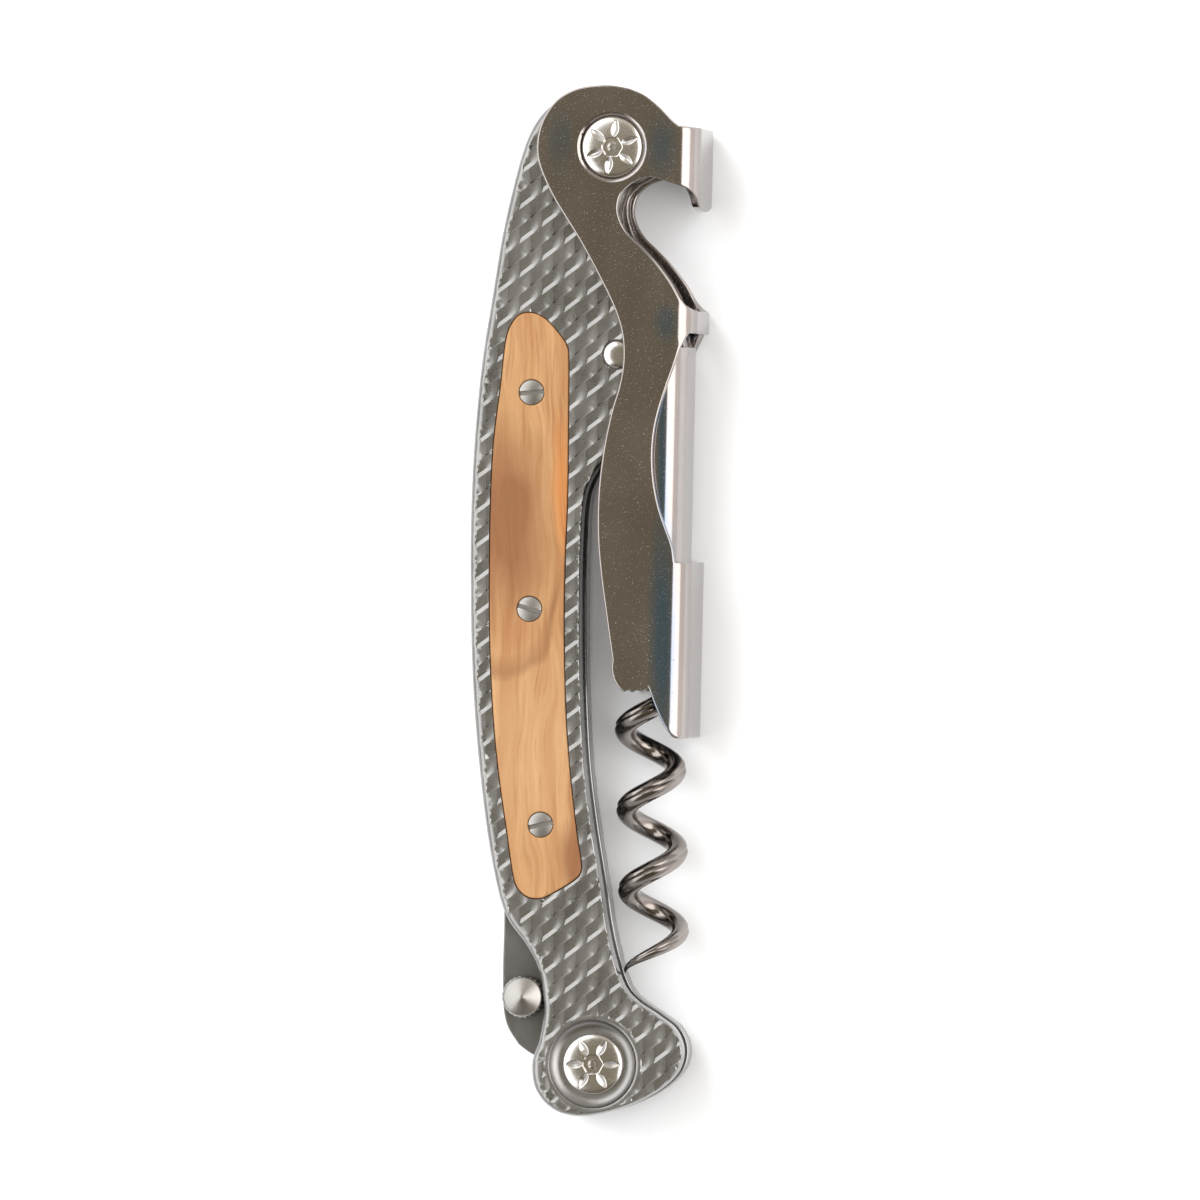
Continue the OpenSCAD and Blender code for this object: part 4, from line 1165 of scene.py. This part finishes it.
def add_world():
    """Studio as light from each direction: bright panels left and right, paler towards +Y, an
    even band near the horizon and a dim patch overhead."""
    world = bpy.data.worlds.new("studio")
    bpy.context.scene.world = world
    world.use_nodes = True
    paint = Paint.__new__(Paint)
    paint.tree = world.node_tree
    shader = paint.tree.nodes["Background"]
    way = paint.put("ShaderNodeTexCoord").outputs["Generated"]
    flat_way = paint.put("ShaderNodeVectorMath", {0: way, 1: (1, 1, 0)}, operation="MULTIPLY").outputs[0]
    flat_way = paint.put("ShaderNodeVectorMath", {0: flat_way}, operation="NORMALIZE").outputs[0]
    across, _, height = paint.put("ShaderNodeSeparateXYZ", {0: way}).outputs

    def toward(degrees, narrow, wide):
        a = math.radians(degrees)
        dot = paint.put("ShaderNodeVectorMath", {0: flat_way, 1: (math.cos(a), math.sin(a), 0)},
                        operation="DOT_PRODUCT").outputs["Value"]
        return paint.span(dot, math.cos(math.radians(wide)), math.cos(math.radians(narrow)))

    side = paint.mix(toward(90, 30, 110), (0.19, 0.16, 0.115), (0.66, 0.6, 0.51))
    side = paint.mix(toward(165, 50, 66), side, (2.4, 2.4, 2.4))
    right = toward(5, 34, 46)
    side = paint.mix(right, side, (3.1, 3.0, 2.95))
    low = paint.span(height, math.cos(math.radians(54)), math.cos(math.radians(62)))
    tone = paint.mix(low, side, paint.mix(right, (0.75, 0.75, 0.75), (1.3, 1.24, 1.2)))
    lean = math.radians(-1)
    cap = paint.put("ShaderNodeVectorMath", {0: way, 1: (math.sin(lean), 0, math.cos(lean))},
                    operation="DOT_PRODUCT").outputs["Value"]
    zenith = paint.span(cap, math.cos(math.radians(23)), math.cos(math.radians(19)))
    left_part = paint.span(across, math.sin(math.radians(17)), math.sin(math.radians(13)))
    tone = paint.mix(paint.math("MULTIPLY", zenith, left_part), tone, (0.30, 0.267, 0.195))
    paint.tree.links.new(tone, shader.inputs["Color"])


def add_lamp(name, place, size, watts):
    """Soft round lamp aimed at the object, left out of its reflections."""
    data = bpy.data.lights.new(name, "AREA")
    data.shape = "DISK"
    data.size = size
    data.energy = watts
    lamp = bpy.data.objects.new(name, data)
    lamp.visible_glossy = False
    lamp.location = place
    lamp.rotation_euler = (-Vector(place)).to_track_quat("-Z", "Y").to_euler()
    bpy.context.scene.collection.objects.link(lamp)


def add_camera():
    """Long lens almost straight above the object, a little to its right."""
    distance, lean, view_width = 1.6, math.radians(8.51), 0.1402
    data = bpy.data.cameras.new("camera")
    data.sensor_width = 36.0
    data.lens = data.sensor_width * distance / view_width
    data.clip_end = 20.0
    camera = bpy.data.objects.new("camera", data)
    camera.location = (0.001 + distance * math.sin(lean), 0, distance * math.cos(lean))
    camera.rotation_euler = (0, lean, 0)
    bpy.context.scene.collection.objects.link(camera)
    bpy.context.scene.camera = camera


# ---------------------------------------------------------------- assembly


def make_pair(name, shell, node, slot, sharp=40, weighted=True):
    """The same piece on the front and, mirrored, on the back of the handle."""
    for side, mirror in (("front", False), ("back", True)):
        make(f"{side}_{name}", shell, "handle", f"{side}_{node}", slot, mirror, sharp, weighted)


def build():
    """Makes every piece, and gives the CAD nodes that stay their finish."""
    make_pair("side_plate", side_plate(), "scale", "textured_steel", 16, False)
    make_pair("wood_panel", wood_panel(), "inlay", "olive_wood")
    make_pair("slotted_screws", slotted_screws(), "inlay_screws", "screw_steel")
    for name, outline, hole in (("top_spacer", TOP_SPACER, LEVER_PIVOT),
                                ("middle_spacer", MIDDLE_SPACER, None)):
        loops = [wound(loop(outline, 0.5))]
        if hole is not None:
            loops.append(circle(hole, FIXED_R, 0.3, clockwise=True))
        make(f"{name}_plate", plate(loops, HALF_SLOT, -HALF_SLOT), "handle", name, "frame_steel")
    make("leaf_spring", leaf_spring(), "handle", "back_spring", "spring_steel")
    make("worm_rivet", worm_rivet(), "handle", "worm_pin", "pivot_steel")
    heads = (
        ("lever", LEVER_PIVOT, SEAT_Z + 0.03, HALF_LEVER - 0.4, 20),
        ("blade", BLADE_PIVOT, RING_FLOOR_Z + 0.02, HALF_T - 0.1, 0),
    )
    for name, centre, z0, z1, turn in heads:
        shell = pivot(centre, z0, z1, HEAD_RISE, turn)
        for side, node, mirror in (("front", "screw", False), ("back", "barrel", True)):
            make(f"{name}_pivot_{side}", shell, "handle", f"{name}_pivot_{node}", "pivot_steel",
                 mirror, 35, False)
    make("lever_sheet", lever_sheet(), "lever", "outer_lever", "nickel_sheet")
    make("step_sheet", step_sheet(), "step_lever", "step_lever", "nickel_sheet")
    make("worm_wire", worm_wire(), "worm", "worm", "worm_steel", sharp=22, weighted=False)
    make("foil_blade", foil_blade(), "blade", "blade", "blade_steel")
    make("knurled_stud", stud(), "blade", "thumb_stud", "screw_steel", weighted=False)
    for node, slot in (("blade_washers", "bronze"), ("frame_rivets", "frame_steel"),
                       ("spring_rivet", "frame_steel"), ("blade_stop_pin", "frame_steel")):
        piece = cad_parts[node]
        for place in piece.material_slots:
            place.material = FINISHES[slot]
        if not piece.material_slots:
            piece.data.materials.append(FINISHES[slot])


build()
add_floor()
add_world()
add_lamp("ceiling", (-0.10, 0.12, 1.20), 0.9, 5.0)
add_lamp("key", (-0.45, 0.50, 0.70), 0.8, 8.0)
add_camera()
bpy.context.scene.view_settings.view_transform = "Standard"
